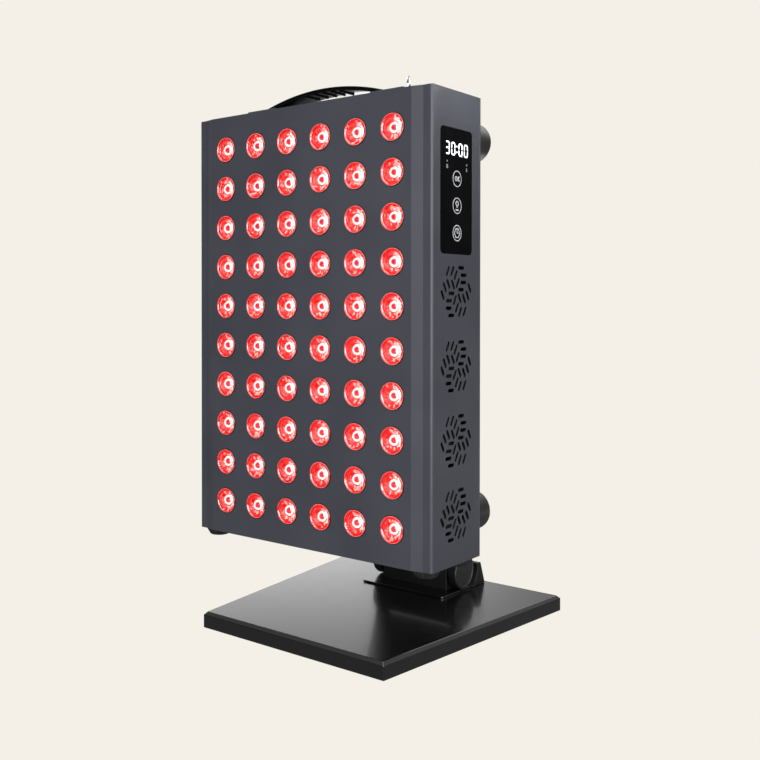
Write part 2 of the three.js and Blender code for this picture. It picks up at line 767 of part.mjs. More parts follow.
// Socket-head screw through the bracket into the rear cover's insert
function bracketScrew(sideX, sideZ) {
  const seat = panelDepth + 2 * clearance + bracketThickness;
  const top = seat + screwHeadHeight;
  const head = bar('y', screwHeadRadius, seat, top, smallSides);
  const shank = bar('y', screwRadius, seat - screwLength, seat + sink, smallSides);
  const hexKey = bar('y', hexKeyRadius, top - hexKeyDepth, top + overrun, 6);
  return joined([head, shank]).subtract(hexKey)
    .translate([(sideX * bracketHoleSpacing) / 2, 0, (sideZ * bracketHoleSpacing) / 2]);
}

// Hinge cheeks at one height of the arm, with wells for the shaft's head and nut
function armCheeks(z, towards) {
  const half = armThickness / 2;
  const plates = [];
  const wells = [];
  for (const side of [-1, 1]) {
    const [from, to] = side > 0 ? [cheekInner, cheekOuter] : [-cheekOuter, -cheekInner];
    const [low, high] = z < towards ? [z, towards] : [towards, z];
    plates.push(bar('x', cheekRadius, from, to, hingeSides, 0, z), alongX(rectangle(-half, low, half, high), from, to));
    const [wellFrom, wellTo] = side > 0
      ? [cheekOuter - cheekRecess, cheekOuter + overrun]
      : [-cheekOuter - overrun, cheekRecess - cheekOuter];
    wells.push(bar('x', shaftHeadRadius + clearance, wellFrom, wellTo, hingeSides / 2, 0, z));
  }
  return joined(plates).subtract(joined([...wells, shaftBore().translate([0, 0, z])]));
}

// Arm about the lower hinge axis, running up along Z to the upper axis, with a ribbed pocket at its back
function armBody() {
  const half = armThickness / 2;
  const web = alongX(rectangle(-half, armEndGap, half, armLength - armEndGap), -cheekOuter, cheekOuter);
  const pocketX = cheekOuter - armWall;
  const pocketLow = armEndGap + armPocketInset;
  const pocketHigh = armLength - pocketLow;
  const pocketBack = half - armCoverThickness - clearance;
  const pocket = alongX(rectangle(armWall - half, pocketLow, half + overrun, pocketHigh), -pocketX, pocketX);
  const rebateX = pocketX + armRebate / 2;
  const rebate = alongX(
    rectangle(pocketBack, pocketLow - armRebate, half + overrun, pocketHigh + armRebate),
    -rebateX,
    rebateX,
  );
  const ribs = [];
  for (let i = 1; i <= armRibs; i++) {
    const z = pocketLow + ((pocketHigh - pocketLow) * i) / (armRibs + 1);
    const rib = rectangle(armWall - half - sink, z - armWall / 2, pocketBack, z + armWall / 2);
    ribs.push(alongX(rib, -pocketX - sink, pocketX + sink));
  }
  const shell = web.subtract(joined([pocket, rebate]));
  const overlap = armEndGap + sink;
  return joined([shell, ...ribs, armCheeks(0, overlap), armCheeks(armLength, armLength - overlap)]);
}

function armCover() {
  const half = armThickness / 2;
  const x = cheekOuter - armWall + armRebate / 2 - clearance;
  const low = armEndGap + armPocketInset - armRebate + clearance;
  return alongY(rectangle(-x, low, x, armLength - low), half - armCoverThickness, half);
}

// Shaft along X whose head lies in the left cheek's well
function hingeShaft() {
  const head = bar('x', shaftHeadRadius, -cheekOuter, cheekRecess - clearance - cheekOuter, hingeSides / 2);
  return joined([head, bar('x', shaftRadius, -cheekOuter, cheekOuter, hingeSides / 2)]);
}

function hingeNut() {
  const from = cheekOuter - cheekRecess + clearance;
  const hexagon = bar('x', nutRadius, from, cheekOuter, 6);
  return hexagon.subtract(bar('x', shaftRadius + clearance, from - overrun, cheekOuter + overrun, hingeSides / 2));
}

// Round cap over a cheek's outer face, with a rounded rim
function hingeCap(side) {
  const start = cheekOuter + clearance;
  const end = start + hingeCapThickness;
  const profile = [
    [0, start],
    [cheekRadius, start],
    [cheekRadius, end - hingeCapRound],
    [cheekRadius - hingeCapRound, end],
    [0, end],
  ];
  return turned(profile, hingeSides).rotate([0, 0, -90 * side]);
}

// Hinge saddle about the lower axis: foot flange, fixed knuckle and a rear block with a round seat
function hingeSaddle() {
  const floor = clearance - lowerAxisRise;
  const flangeY = (saddleRear - saddleFront) / 2;
  const flange = roundedRectangle(2 * saddleHalfWidth, saddleFront + saddleRear, saddleCornerRadius, 0, flangeY);
  const seatRadius = cheekRadius + saddleSeatGap;
  const topFront = Math.sqrt(seatRadius ** 2 - rearBlockRise ** 2);
  const topRear = topFront + rearBlockTop;
  const block = alongX(
    polygon([[0, floor], [topRear + rearBlockSlope, floor], [topRear, rearBlockRise], [0, rearBlockRise]]),
    -rearBlockHalfWidth,
    rearBlockHalfWidth,
  );
  const seatReach = rearBlockHalfWidth + overrun;
  const seat = bar('x', seatRadius, -seatReach, seatReach, 2 * hingeSides);
  const neck = alongX(rectangle(-knuckleRadius, floor, topRear, 0), -knuckleHalfWidth, knuckleHalfWidth);
  const crown = bar('x', knuckleRadius, -knuckleHalfWidth, knuckleHalfWidth, hingeSides);
  return joined([
    block.subtract(seat),
    alongZ(flange, floor, floor + saddleFlange, 2),
    neck,
    crown,
    thrustBosses(),
  ]).subtract(shaftBore());
}

// Base outline as four corners, inset evenly from the outer edge
function baseCorners(inset) {
  const front = inset - baseDepth / 2;
  const back = baseDepth / 2 - inset;
  const slope = Math.atan2((baseRearWidth - baseFrontWidth) / 2, baseDepth);
  const half = (y) => baseFrontWidth / 2 + (y + baseDepth / 2) * Math.tan(slope) - inset / Math.cos(slope);
  return [[-half(front), front], [half(front), front], [half(back), back], [-half(back), back]];
}

// Slab over the base outline with bevelled top edges, skinned over three rings of corners
function bevelledSlab(bottom, top, bevel) {
  const rings = [[0, bottom], [0, top - bevel], [bevel, top]];
  const positions = rings.flatMap(([inset, z]) => baseCorners(inset).flatMap(([x, y]) => [x, y, z]));
  const faces = [0, 2, 1, 0, 3, 2, 8, 9, 10, 8, 10, 11];
  for (let ring = 0; ring < 2; ring++) {
    for (let i = 0; i < 4; i++) {
      const a = 4 * ring + i;
      const b = 4 * ring + ((i + 1) % 4);
      faces.push(a, b, b + 4, a, b + 4, a + 4);
    }
  }
  const geometry = new THREE.BufferGeometry();
  geometry.setAttribute('position', new THREE.Float32BufferAttribute(positions, 3));
  geometry.setIndex(faces);
  return toSolid(geometry);
}

function baseCover() {
  const hollow = alongZ(polygon(baseCorners(baseWall)), padProud - overrun, baseTop - baseWall);
  return bevelledSlab(padProud, baseTop, baseBevel).subtract(hollow);
}

// Heavy plate that fills the cover, with a socket for each rubber pad
function baseBallast() {
  const plate = alongZ(polygon(baseCorners(baseWall + clearance)), padProud, baseTop - baseWall - clearance);
  const sockets = baseCorners(basePadInset).map(([x, y]) => (
    bar('z', basePadRadius + clearance, padProud - overrun, padProud + basePadSeat, mediumSides, x, y)
  ));
  return plate.subtract(joined(sockets));
}

function basePad([x, y]) {
  return bar('z', basePadRadius, 0, padProud + basePadSeat - clearance, mediumSides, x, y);
}

// Stand, fixed on the table
const model = new THREE.Group();
const stand = new THREE.Group();
stand.add(piece('base_cover', baseCover(), blackPaint));
stand.add(piece('base_ballast', baseBallast(), ballastIron));
const padNames = ['front_left', 'front_right', 'rear_right', 'rear_left'];
baseCorners(basePadInset).forEach((corner, i) => {
  stand.add(piece(`base_pad_${padNames[i]}`, basePad(corner), darkRubber));
});
const saddle = piece('hinge_saddle', hingeSaddle(), blackPaint);
saddle.position.set(0, lowerAxisY, lowerAxisZ);
stand.add(saddle);
model.add(stand);

// Arm, drawn upright about the lower axis and leant forward to the upper one
const arm = new THREE.Group();
arm.position.set(0, lowerAxisY, lowerAxisZ);
arm.rotation.x = armLean;
arm.add(piece('arm_body', armBody(), blackPaint));
arm.add(piece('arm_cover', armCover(), blackPlastic));
for (const [end, z] of [['lower', 0], ['upper', armLength]]) {
  const hardware = [
    piece(`${end}_shaft`, hingeShaft(), zincSteel),
    piece(`${end}_nut`, hingeNut(), zincSteel),
    piece(`${end}_cap_left`, hingeCap(-1), blackPlastic),
    piece(`${end}_cap_right`, hingeCap(1), blackPlastic),
  ];
  for (const item of hardware) {
    item.position.z = z;
    arm.add(item);
  }
}
model.add(arm);

// Panel, drawn about the middle of its front face
const panel = new THREE.Group();
panel.position.set(0, panelFrontY, panelCentreZ);
const bracket = piece('panel_bracket', panelBracket(), blackPaint);
bracket.position.y = panelDepth + upperAxisGap;
panel.add(bracket);
panel.add(piece('housing', housing(), graphitePaint));
panel.add(piece('top_cap', topCap(), graphitePaint));
panel.add(piece('bottom_cap', bottomCap(), graphitePaint));
panel.add(piece('rear_cover', rearCover(), graphitePaint));
for (let column = 0; column < columns; column++) {
  panel.add(piece(`led_strip_${column + 1}`, ledStrip(column), redLens));
}
panel.add(piece('heat_sink', heatSink(), aluminium));
for (let i = 0; i < fanCount; i++) {
  const fan = [
    piece(`fan_frame_${i + 1}`, fanFrame(), blackPlastic),
    piece(`fan_rotor_${i + 1}`, fanRotor(), blackPlastic),
  ];
  for (const item of fan) {
    item.position.set(panelWidth / 2 - sheet - clearance, middleY, fanRise(i));
    panel.add(item);
  }
}
panel.add(piece('control_glass', controlGlass(), blackGlass));
panel.add(piece('control_board', controlBoard(), greenBoard));
panel.add(piece('led_driver', ledDriver(), aluminium));
panel.add(piece('handle_pad', handlePad(), graphitePaint));
panel.add(piece('handle', handle(), darkRubber));
for (const [sideName, sideX] of [['left', -1], ['right', 1]]) {
  panel.add(piece(`hanging_eye_${sideName}`, hangingEye(sideX), chrome));
  panel.add(piece(`foot_front_${sideName}`, foot(sideX, footInset), darkRubber));
  panel.add(piece(`foot_rear_${sideName}`, foot(sideX, panelDepth - footInset), darkRubber));
  for (const [level, sideZ] of [['upper', 1], ['lower', -1]]) {
    panel.add(piece(`bumper_${level}_${sideName}`, bumper(sideX, sideZ), darkRubber));
    panel.add(piece(`bracket_screw_${level}_${sideName}`, bracketScrew(sideX, sideZ), zincSteel));
  }
}
panel.add(piece('mains_inlet', mainsInlet(), blackPlastic));
panel.add(piece('switch_bezel', switchBezel(), blackPlastic));
const rocker = piece('power_rocker', powerRocker(), blackPlastic);
rocker.position.set(inletShift, switchFace - rockerSetback, switchRise);
panel.add(rocker);
model.add(panel);

export default model;
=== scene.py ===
import math
import random

import bmesh
import bpy
from mathutils import Matrix, Vector


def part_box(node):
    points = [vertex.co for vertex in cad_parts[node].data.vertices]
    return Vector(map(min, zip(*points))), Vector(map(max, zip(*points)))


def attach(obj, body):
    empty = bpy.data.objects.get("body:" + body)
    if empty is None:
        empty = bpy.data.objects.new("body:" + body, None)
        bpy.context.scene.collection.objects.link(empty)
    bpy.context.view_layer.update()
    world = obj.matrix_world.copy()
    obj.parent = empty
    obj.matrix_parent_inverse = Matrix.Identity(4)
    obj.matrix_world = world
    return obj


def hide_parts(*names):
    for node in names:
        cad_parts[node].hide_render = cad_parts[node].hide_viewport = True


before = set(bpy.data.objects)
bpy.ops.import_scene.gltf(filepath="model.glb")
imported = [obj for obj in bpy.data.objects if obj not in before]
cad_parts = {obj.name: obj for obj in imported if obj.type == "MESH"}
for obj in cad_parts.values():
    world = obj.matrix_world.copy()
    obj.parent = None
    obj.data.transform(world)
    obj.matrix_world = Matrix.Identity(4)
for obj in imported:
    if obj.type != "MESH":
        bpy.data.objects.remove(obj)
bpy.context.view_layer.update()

# Sizes and places, in metres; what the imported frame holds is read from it
MM = 0.001
GAP = 0.3 * MM  # between pieces that touch


def middle_of(node):
    low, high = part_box(node)
    return (Vector(low) + Vector(high)) / 2


# The panel's own frame: X right, Y back from the face, Z up from the middle of the lens grid
housing_low, housing_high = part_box("housing")
PANEL_FRONT = housing_low[1]
PANEL_MIDDLE = (housing_low[2] + housing_high[2]) / 2
HALF_WIDTH = housing_high[0]
HALF_HEIGHT = (housing_high[2] - housing_low[2]) / 2
HOUSING_DEPTH = housing_high[1] - housing_low[1]


def on_panel(x, y, z):
    return Vector((x, PANEL_FRONT + y, PANEL_MIDDLE + z))


# Folded sheet
SHEET = 1.5 * MM
FACE_HALF = 112 * MM  # half the raised face's width
BEVEL_WIDTH = 9.8 * MM  # of the slope beside the raised face
FACE_PROUD = 2.4 * MM
FOLD_RADIUS = 2.4 * MM  # between a side strip and its wall
PRESS_RADIUS = 2.2 * MM  # at the slope's two bends
LEAST_FOLD = 0.4 * MM  # radius inside a fold
REAR_LIP = 11 * MM

# Lens grid
COLUMNS = 6
ROWS = 10
ROW_PITCH = 36 * MM
LENS_HOLE = 11.75 * MM  # radius
HOLE_SIDES = 48

# Control glass, let into the right side
glass_low, glass_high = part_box("control_glass")
GLASS_WIDTH = glass_high[1] - glass_low[1]
GLASS_HEIGHT = glass_high[2] - glass_low[2]
GLASS_THICKNESS = glass_high[0] - glass_low[0]
GLASS_RISE = middle_of("control_glass").z - PANEL_MIDDLE
SIDE_MIDDLE = middle_of("control_glass").y - PANEL_FRONT
GLASS_CORNER = 4 * MM
GLASS_SINK = 0.15 * MM
PRINT_PROUD = 0.1 * MM
PRINT_ROOT = 0.2 * MM  # of the print, sunk in the glass

# Fans: a rosette of slots for each in the right side, and one row of air inlets in the left side
FAN_COUNT = 4
FAN_RISES = [middle_of(f"fan_frame_{i + 1}").z - PANEL_MIDDLE for i in range(FAN_COUNT)]
ROSETTE_REACH = 24.16 * MM
ROSETTE_SECTORS = 6
# The middle of each slot in a sector, along and across it, as shares of the reach
ROSETTE_SHARES = [(0.3, 0.065), (0.455, 0.31), (0.47, 0.555), (0.315, 0.8)]
SLOT_LENGTH = 9 * MM
SLOT_WIDTH = 2.9 * MM
INTAKE_COUNT = 10
INTAKE_PITCH = (FAN_RISES[0] - FAN_RISES[1]) * FAN_COUNT / INTAKE_COUNT
INTAKE_LENGTH = 44 * MM
INTAKE_WIDTH = 6 * MM

# Base plate and lower hinge
base_low, base_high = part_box("base_cover")
BASE_FRONT = 203 * MM
BASE_REAR = base_high[0] - base_low[0]
BASE_DEPTH = base_high[1] - base_low[1]
BASE_LOW = base_low[2]
BASE_TOP = base_high[2]
LOWER_AXIS = middle_of("lower_shaft")
UPPER_AXIS = middle_of("upper_shaft")


# Colours and nodes
def colour(code):
    """Linear colour of an sRGB hex value."""
    parts = [int(code[i:i + 2], 16) / 255 for i in (1, 3, 5)]
    return tuple(p / 12.92 if p <= 0.04045 else ((p + 0.055) / 1.055) ** 2.4 for p in parts) + (1.0,)


def add_node(tree, kind, settings=None, inputs=None):
    """A node with its settings; an input is a constant or another node's output socket."""
    node = tree.nodes.new(kind)
    for name, value in (settings or {}).items():
        setattr(node, name, value)
    for name, value in (inputs or {}).items():
        if isinstance(value, bpy.types.NodeSocket):
            tree.links.new(value, node.inputs[name])
        else:
            node.inputs[name].default_value = value
    return node


def coat(name, low, high, blotch_mm, roughness, grain_mm, bump_mm, shader, stretch=(1, 1, 1)):
    """A finish: two close colours in blotches, a roughness range and a fine relief, at real sizes."""
    material = bpy.data.materials.new(name)
    material.use_nodes = True
    tree = material.node_tree
    principled = tree.nodes["Principled BSDF"]
    for socket, value in shader.items():
        principled.inputs[socket].default_value = value
    place = add_node(tree, "ShaderNodeTexCoord").outputs["Object"]
    place = add_node(tree, "ShaderNodeMapping", inputs={"Vector": place, "Scale": stretch}).outputs["Vector"]
    blotches = {"Vector": place, "Scale": 1000 / blotch_mm, "Detail": 2.0}
    blotch = add_node(tree, "ShaderNodeTexNoise", inputs=blotches)
    tint = add_node(tree, "ShaderNodeValToRGB", inputs={"Fac": blotch.outputs["Fac"]})
    for element, share, code in zip(tint.color_ramp.elements, (0.35, 0.65), (low, high)):
        element.position = share
        element.color = colour(code)
    tree.links.new(tint.outputs["Color"], principled.inputs["Base Color"])
    grains = {"Vector": place, "Scale": 1000 / grain_mm, "Detail": 2.0}
    fine = add_node(tree, "ShaderNodeTexNoise", inputs=grains)
    spread = {"Value": fine.outputs["Fac"], "To Min": roughness[0], "To Max": roughness[1]}
    gloss = add_node(tree, "ShaderNodeMapRange", inputs=spread)
    tree.links.new(gloss.outputs["Result"], principled.inputs["Roughness"])
    height = {"Height": fine.outputs["Fac"], "Strength": 1.0, "Distance": bump_mm * MM}
    relief = add_node(tree, "ShaderNodeBump", inputs=height)
    tree.links.new(relief.outputs["Normal"], principled.inputs["Normal"])
    return material


# Finishes
def powder_coat():
    # Polyester powder coat on folded steel: an even satin with a fine orange peel, cool grey
    shader = {"IOR": 1.5, "Specular IOR Level": 0.3}
    return coat("graphite_powder_coat", "#303137", "#34353b", 60, (0.36, 0.44), 1.6, 0.006, shader)


def stoved_enamel():
    # Black enamel stoved on pressed steel: smooth and deep, so it mirrors the room at a low angle
    shader = {"IOR": 1.5, "Coat Weight": 0.6, "Coat Roughness": 0.1}
    return coat("black_stoved_enamel", "#050506", "#080809", 50, (0.22, 0.28), 9, 0.003, shader)


def satin_black():
    # Black powder coat on the hinge castings: satin, so the lamps spread to a faint sheen on them
    shader = {"IOR": 1.5, "Specular IOR Level": 0.35}
    return coat("satin_black_powder_coat", "#070708", "#0b0b0c", 20, (0.4, 0.5), 1.4, 0.008, shader)


def moulded_abs():
    # Black ABS moulded with a spark texture: a soft grey sheen where it turns from the light
    return coat("black_moulded_abs", "#0e0e0f", "#151517", 30, (0.42, 0.6), 0.8, 0.015, {"IOR": 1.53})


def nitrile_rubber():
    # Moulded nitrile rubber: dark, with the half gloss that its polished mould leaves
    return coat("black_nitrile_rubber", "#0f0f0e", "#191918", 6, (0.32, 0.45), 1.0, 0.02, {"IOR": 1.52})


def strap_vinyl():
    # Moulded vinyl of the carrying strap: jet black with a wet gloss, like patent leather
    return coat("black_strap_vinyl", "#030303", "#060606", 12, (0.12, 0.18), 3, 0.004, {"IOR": 1.5})


def chrome_plate():
    # Bright chromium plate on steel wire: a near mirror
    return coat("bright_chrome_plate", "#c9cacc", "#d8d9da", 4, (0.06, 0.12), 1.2, 0.002, {"Metallic": 1.0})


def zinc_plate():
    # Zinc plate on steel screws and shafts: bright, with a cool cloudy passivation
    return coat("clear_zinc_plate", "#8f9296", "#a9acb0", 3, (0.28, 0.42), 0.8, 0.006, {"Metallic": 1.0})


def nickel_plate():
    # Nickel plate on the inlet's brass pins: warm grey and bright
    return coat("bright_nickel_plate", "#b3ada0", "#c4beb2", 2, (0.15, 0.25), 0.6, 0.002, {"Metallic": 1.0})


def extruded_aluminium():
    # Mill-finish extruded aluminium: pale, drawn into fine lines along its length
    shader = {"Metallic": 1.0}
    return coat("mill_aluminium", "#9a9c9e", "#b4b6b8", 8, (0.32, 0.46), 0.9, 0.006, shader, (1, 1, 0.1))


def cast_iron():
    # Iron cast in sand: dull, dark and pitted
    return coat("sand_cast_iron", "#3a3a3c", "#4c4c4e", 5, (0.55, 0.75), 1.2, 0.06, {"Metallic": 0.6})


def display_acrylic():
    # Smoked acrylic with an anti-glare coat, printed black behind: almost no reflection
    shader = {"IOR": 1.49, "Specular IOR Level": 0.02}
    return coat("smoked_display_acrylic", "#060607", "#09090a", 20, (0.08, 0.12), 14, 0.001, shader)


def screen_print():
    # Silver-grey ink, screen printed: flat and even, lit softly from behind
    shader = {"IOR": 1.5, "Emission Color": colour("#b9bbbd"), "Emission Strength": 0.3}
    return coat("silver_screen_print", "#77797b", "#919395", 2, (0.35, 0.5), 0.5, 0.003, shader)


def faint_print():
    # The same ink where no light is behind it: hardly seen on the black
    return coat("unlit_screen_print", "#5a5b5d", "#6c6d6f", 2, (0.35, 0.5), 0.5, 0.003, {"IOR": 1.5})


def circuit_laminate():
    # Green solder mask over glass-epoxy board: half gloss, with the weave just showing
    return coat("green_solder_mask", "#123f22", "#1a5530", 6, (0.35, 0.5), 1.0, 0.004, {"IOR": 1.55})


def lit_segments():
    # White light from the display's segments, through a diffusing film
    shader = {"Emission Color": colour("#f4f8fb"), "Emission Strength": 1.0}
    return coat("lit_white_segments", "#cfd3d6", "#dde1e4", 2, (0.3, 0.4), 0.6, 0.001, shader)


def lit_acrylic(name, low, high, blotch_mm, glow_low, glow_high, strength, glow_mm):
    """Moulded acrylic with light in it: the glow is uneven, as its pattern of facets scatters it."""
    shader = {"IOR": 1.49, "Coat Weight": 1.0, "Coat Roughness": 0.04, "Coat IOR": 1.6}
    shader["Emission Strength"] = strength
    material = coat(name, low, high, blotch_mm, (0.06, 0.14), 2.4, 0.004, shader)
    tree = material.node_tree
    place = add_node(tree, "ShaderNodeTexCoord").outputs["Object"]
    streaks = {"Vector": place, "Scale": 1000 / glow_mm, "Detail": 1.0, "Distortion": 1.2}
    scatter = add_node(tree, "ShaderNodeTexNoise", inputs=streaks)
    glow = add_node(tree, "ShaderNodeValToRGB", inputs={"Fac": scatter.outputs["Fac"]})
    for element, share, code in zip(glow.color_ramp.elements, (0.54, 0.74), (glow_low, glow_high)):
        element.position = share
        element.color = colour(code)
    tree.links.new(glow.outputs["Color"], tree.nodes["Principled BSDF"].inputs["Emission Color"])
    return material


def red_acrylic():
    # Clear acrylic moulded in facets over a red light chip: saturated red with paler streaks
    return lit_acrylic("lit_red_acrylic", "#a00408", "#c00c0e", 3, "#f00808", "#ff2c26", 0.78, 3.4)


def painted_highlight_acrylic():
    # Facets of the same acrylic with a painted highlight: pale pink sparks that glow where the softboxes
    # would mirror in them
    return lit_acrylic("painted_highlight_facet_acrylic", "#e0a8a4", "#f0c8c4", 2, "#ff8a82", "#ffe8e4", 0.9, 1.8)


def lens_core():
    # The light chip itself, seen pink-red through the thickest acrylic
    return lit_acrylic("lit_lens_core", "#a01c2c", "#c03044", 1.2, "#e02038", "#f05058", 0.78, 1.6)


def frost_and_painted_reflection_acrylic():
    # Acrylic frosted in the mould, which scatters the light almost white; the same finish paints a softbox's
    # reflection right of each chip
    return lit_acrylic("frost_and_painted_reflection_acrylic", "#e8d4d0", "#f4e6e2", 2, "#ffe2dc", "#fff2ee", 0.92, 2.5)


def rim_acrylic():
    # The lens's polished rim, where light leaks out pale pink
    return lit_acrylic("lit_rim_acrylic", "#c86a66", "#e0908a", 2, "#ff6a60", "#ffc8c0", 0.4, 3.0)


def clear_acrylic():
    # Polished clear acrylic under a hard coat: the lit facets show through it and the softboxes mirror in it
    shader = {"IOR": 1.49, "Transmission Weight": 1.0}
    shader |= {"Coat Weight": 1.0, "Coat Roughness": 0.03, "Coat IOR": 1.8}
    return coat("clear_lens_acrylic", "#ffe4e0", "#fff0ee", 6, (0.02, 0.05), 4, 0.002, shader)


def painted_shade_acrylic():
    # The lens's skirt and the rim's gates, where the light no longer reaches: deep wine red, a painted shade
    # ring round each lens
    return coat("painted_shade_red_acrylic", "#2a0608", "#40090c", 3, (0.1, 0.2), 2.4, 0.004, {"IOR": 1.49})


FINISHES = (
    powder_coat, stoved_enamel, satin_black, moulded_abs, nitrile_rubber, strap_vinyl, chrome_plate,
    zinc_plate, nickel_plate, extruded_aluminium, cast_iron, display_acrylic, screen_print, faint_print,
    circuit_laminate, lit_segments, red_acrylic, lens_core, painted_highlight_acrylic, frost_and_painted_reflection_acrylic, rim_acrylic,
    clear_acrylic, painted_shade_acrylic,
)
FINISH = {make_finish.__name__: make_finish() for make_finish in FINISHES}


# Outlines
def millimetres(outline):
    """An outline in metres from one in millimetres."""
    return [(u * MM, v * MM) for u, v in outline]


def arc(cx, cy, radius, start, end, steps):
    """Points of an arc, with its angles in degrees."""
    turns = [math.radians(start + (end - start) * i / steps) for i in range(steps + 1)]
    return [(cx + radius * math.cos(t), cy + radius * math.sin(t)) for t in turns]


def circle(radius, sides):
    return arc(0, 0, radius, 0, 360 - 360 / sides, sides - 1)


def rounded_rectangle(width, height, radius, cx=0.0, cy=0.0, steps=8):
    right = width / 2 - radius
    top = height / 2 - radius
    outline = arc(cx + right, cy - top, radius, -90, 0, steps)
    outline += arc(cx + right, cy + top, radius, 0, 90, steps)
    outline += arc(cx - right, cy + top, radius, 90, 180, steps)
    outline += arc(cx - right, cy - top, radius, 180, 270, steps)
    return outline


def rounded_corners(corners, radius, steps=6):
    """An outline whose corners, given anticlockwise, are rounded to one radius."""
    outline = []
    for i, corner in enumerate(corners):
        here = Vector(corner)
        before = (Vector(corners[i - 1]) - here).normalized()
        after = (Vector(corners[(i + 1) % len(corners)]) - here).normalized()
        half = before.angle(after) / 2
        centre = here + (before + after).normalized() * radius / math.sin(half)
        start = math.degrees(math.atan2(*(here + before * radius / math.tan(half) - centre).yx))
        outline += arc(centre.x, centre.y, radius, start, start + 180 - math.degrees(2 * half), steps)
    return outline


def capsule(length, width, steps=8):
    reach = (length - width) / 2
    return arc(reach, 0, width / 2, -90, 90, steps) + arc(-reach, 0, width / 2, 90, 270, steps)


# Forms
ALONG = {
    "x": lambda u, v, w: Vector((w, u, v)),
    "y": lambda u, v, w: Vector((u, w, v)),
    "z": lambda u, v, w: Vector((u, v, w)),
}


def skin(bm, rings, closed=False, capped=True):
    """Joins rings of as many vertices with quads."""
    count = len(rings[0])
    faces = []
    for step in range(len(rings) if closed else len(rings) - 1):
        a, b = rings[step], rings[(step + 1) % len(rings)]
        for i in range(count):
            j = (i + 1) % count
            faces.append(bm.faces.new((a[i], a[j], b[j], b[i])))
    if capped and not closed:
        faces += [bm.faces.new(rings[0]), bm.faces.new(rings[-1])]
    return faces


def prism(bm, outline, direction, low, high, centre=(0, 0, 0)):
    """Extrudes an outline between two places along an axis."""
    shift = Vector(centre)
    place = ALONG[direction]
    skin(bm, [[bm.verts.new(place(u, v, w) + shift) for u, v in outline] for w in (low, high)])


def turned(bm, profile, direction, centre, sides, finishes=None, ripple=0.0, ripples=24):
    """Turns a profile of radius and height about an axis through a centre; radius zero closes it."""
    shift = Vector(centre)
    place = ALONG[direction]
    rings = []
    for radius, height in profile:
        turns = [2 * math.pi * i / sides for i in range(sides)]
        if radius == 0:
            rings.append([bm.verts.new(place(0, 0, height) + shift)])
            continue
        ring = []
        for t in turns:
            wave = radius + ripple * math.cos(ripples * t)
            ring.append(bm.verts.new(place(wave * math.cos(t), wave * math.sin(t), height) + shift))
        rings.append(ring)
    for step in range(len(rings) - 1):
        a, b = rings[step], rings[step + 1]
        for i in range(sides):
            j = (i + 1) % sides
            corners = [a[i % len(a)], a[j % len(a)], b[j % len(b)], b[i % len(b)]]
            face = bm.faces.new(list(dict.fromkeys(corners)))
            face.material_index = finishes[step] if finishes else 0


def ring_wire(bm, centre, radius, wire, turn, steps=56, sides=16):
    """A round wire bent into an upright ring, turned about Z."""
    spin = Matrix.Rotation(math.radians(turn), 3, "Z")
    rings = []
    for i in range(steps):
        t = 2 * math.pi * i / steps
        out = Vector((math.cos(t), 0, math.sin(t)))
        points = [out * (radius + wire * math.cos(s)) + Vector((0, wire * math.sin(s), 0))
                  for s in (2 * math.pi * k / sides for k in range(sides))]
        rings.append([bm.verts.new(spin @ point + centre) for point in points])
    skin(bm, rings, closed=True)


def new_object(name, bm, finishes):
    bmesh.ops.recalc_face_normals(bm, faces=bm.faces)
    mesh = bpy.data.meshes.new(name)
    bm.to_mesh(mesh)
    bm.free()
    for finish in finishes:
        mesh.materials.append(FINISH[finish])
    obj = bpy.data.objects.new(name, mesh)
    bpy.context.collection.objects.link(obj)
    return obj


def shade(obj, angle=32):
    """Smooth shading that keeps edges sharper than the angle."""
    obj.data.polygons.foreach_set("use_smooth", [True] * len(obj.data.polygons))
    obj.data.set_sharp_from_angle(angle=math.radians(angle))


def settle(obj):
    """Puts the object's modifiers into its mesh."""
    graph = bpy.context.evaluated_depsgraph_get()
    mesh = bpy.data.meshes.new_from_object(obj.evaluated_get(graph))
    obj.modifiers.clear()
    obj.data = mesh


def cut(obj, tools):
    """Takes closed tools out of the object."""
    tool = new_object("cutting_tool", tools, [])
    boolean = obj.modifiers.new("cut", "BOOLEAN")
    boolean.operation = "DIFFERENCE"
    boolean.solver = "EXACT"
    boolean.object = tool
    settle(obj)
    bpy.data.objects.remove(tool)


def round_edges(obj, width_mm, segments=2, angle=32):
    """Small round on every sharp edge."""
    bevel = obj.modifiers.new("edge_round", "BEVEL")
    bevel.width = width_mm * MM
    bevel.segments = segments
    bevel.limit_method = "ANGLE"
    bevel.angle_limit = math.radians(angle)
    bevel.use_clamp_overlap = True
    bevel.harden_normals = True


def soften(obj, width_mm, segments=2, angle=32):
    """Rounds the sharp edges and shades the piece smooth, with its flats kept flat to the eye."""
    round_edges(obj, width_mm, segments, angle)
    shade(obj, 180)
    flats = obj.modifiers.new("flat_faces", "WEIGHTED_NORMAL")
    flats.weight = 100


def assemble(obj, body, slot, *nodes):
    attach(obj, body)
    if nodes:
        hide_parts(*nodes)


# Panel housing
def housing_section(inset, rear):
    """Right half of the folded sheet's section, from the face's middle round to the rear."""
    side = HALF_WIDTH - inset
    slope = math.degrees(math.atan2(FACE_PROUD, BEVEL_WIDTH))
    shift = math.tan(math.radians(slope / 2))
    convex = PRESS_RADIUS - inset
    concave = PRESS_RADIUS + inset - SHEET
    reach = convex * shift
    points = arc(FACE_HALF - shift * inset - reach, inset + convex, convex, -90, slope - 90, 3)
    foot = (FACE_HALF + BEVEL_WIDTH - shift * inset, FACE_PROUD + inset)
    bend = concave * shift
    points += arc(foot[0] + bend, foot[1] - concave, concave, 90 + slope, 90, 3)
    fold = max(FOLD_RADIUS - inset, LEAST_FOLD)
    points += arc(side - fold, FACE_PROUD + inset + fold, fold, -90, 0, 8)
    points.append((side, rear))
    return points


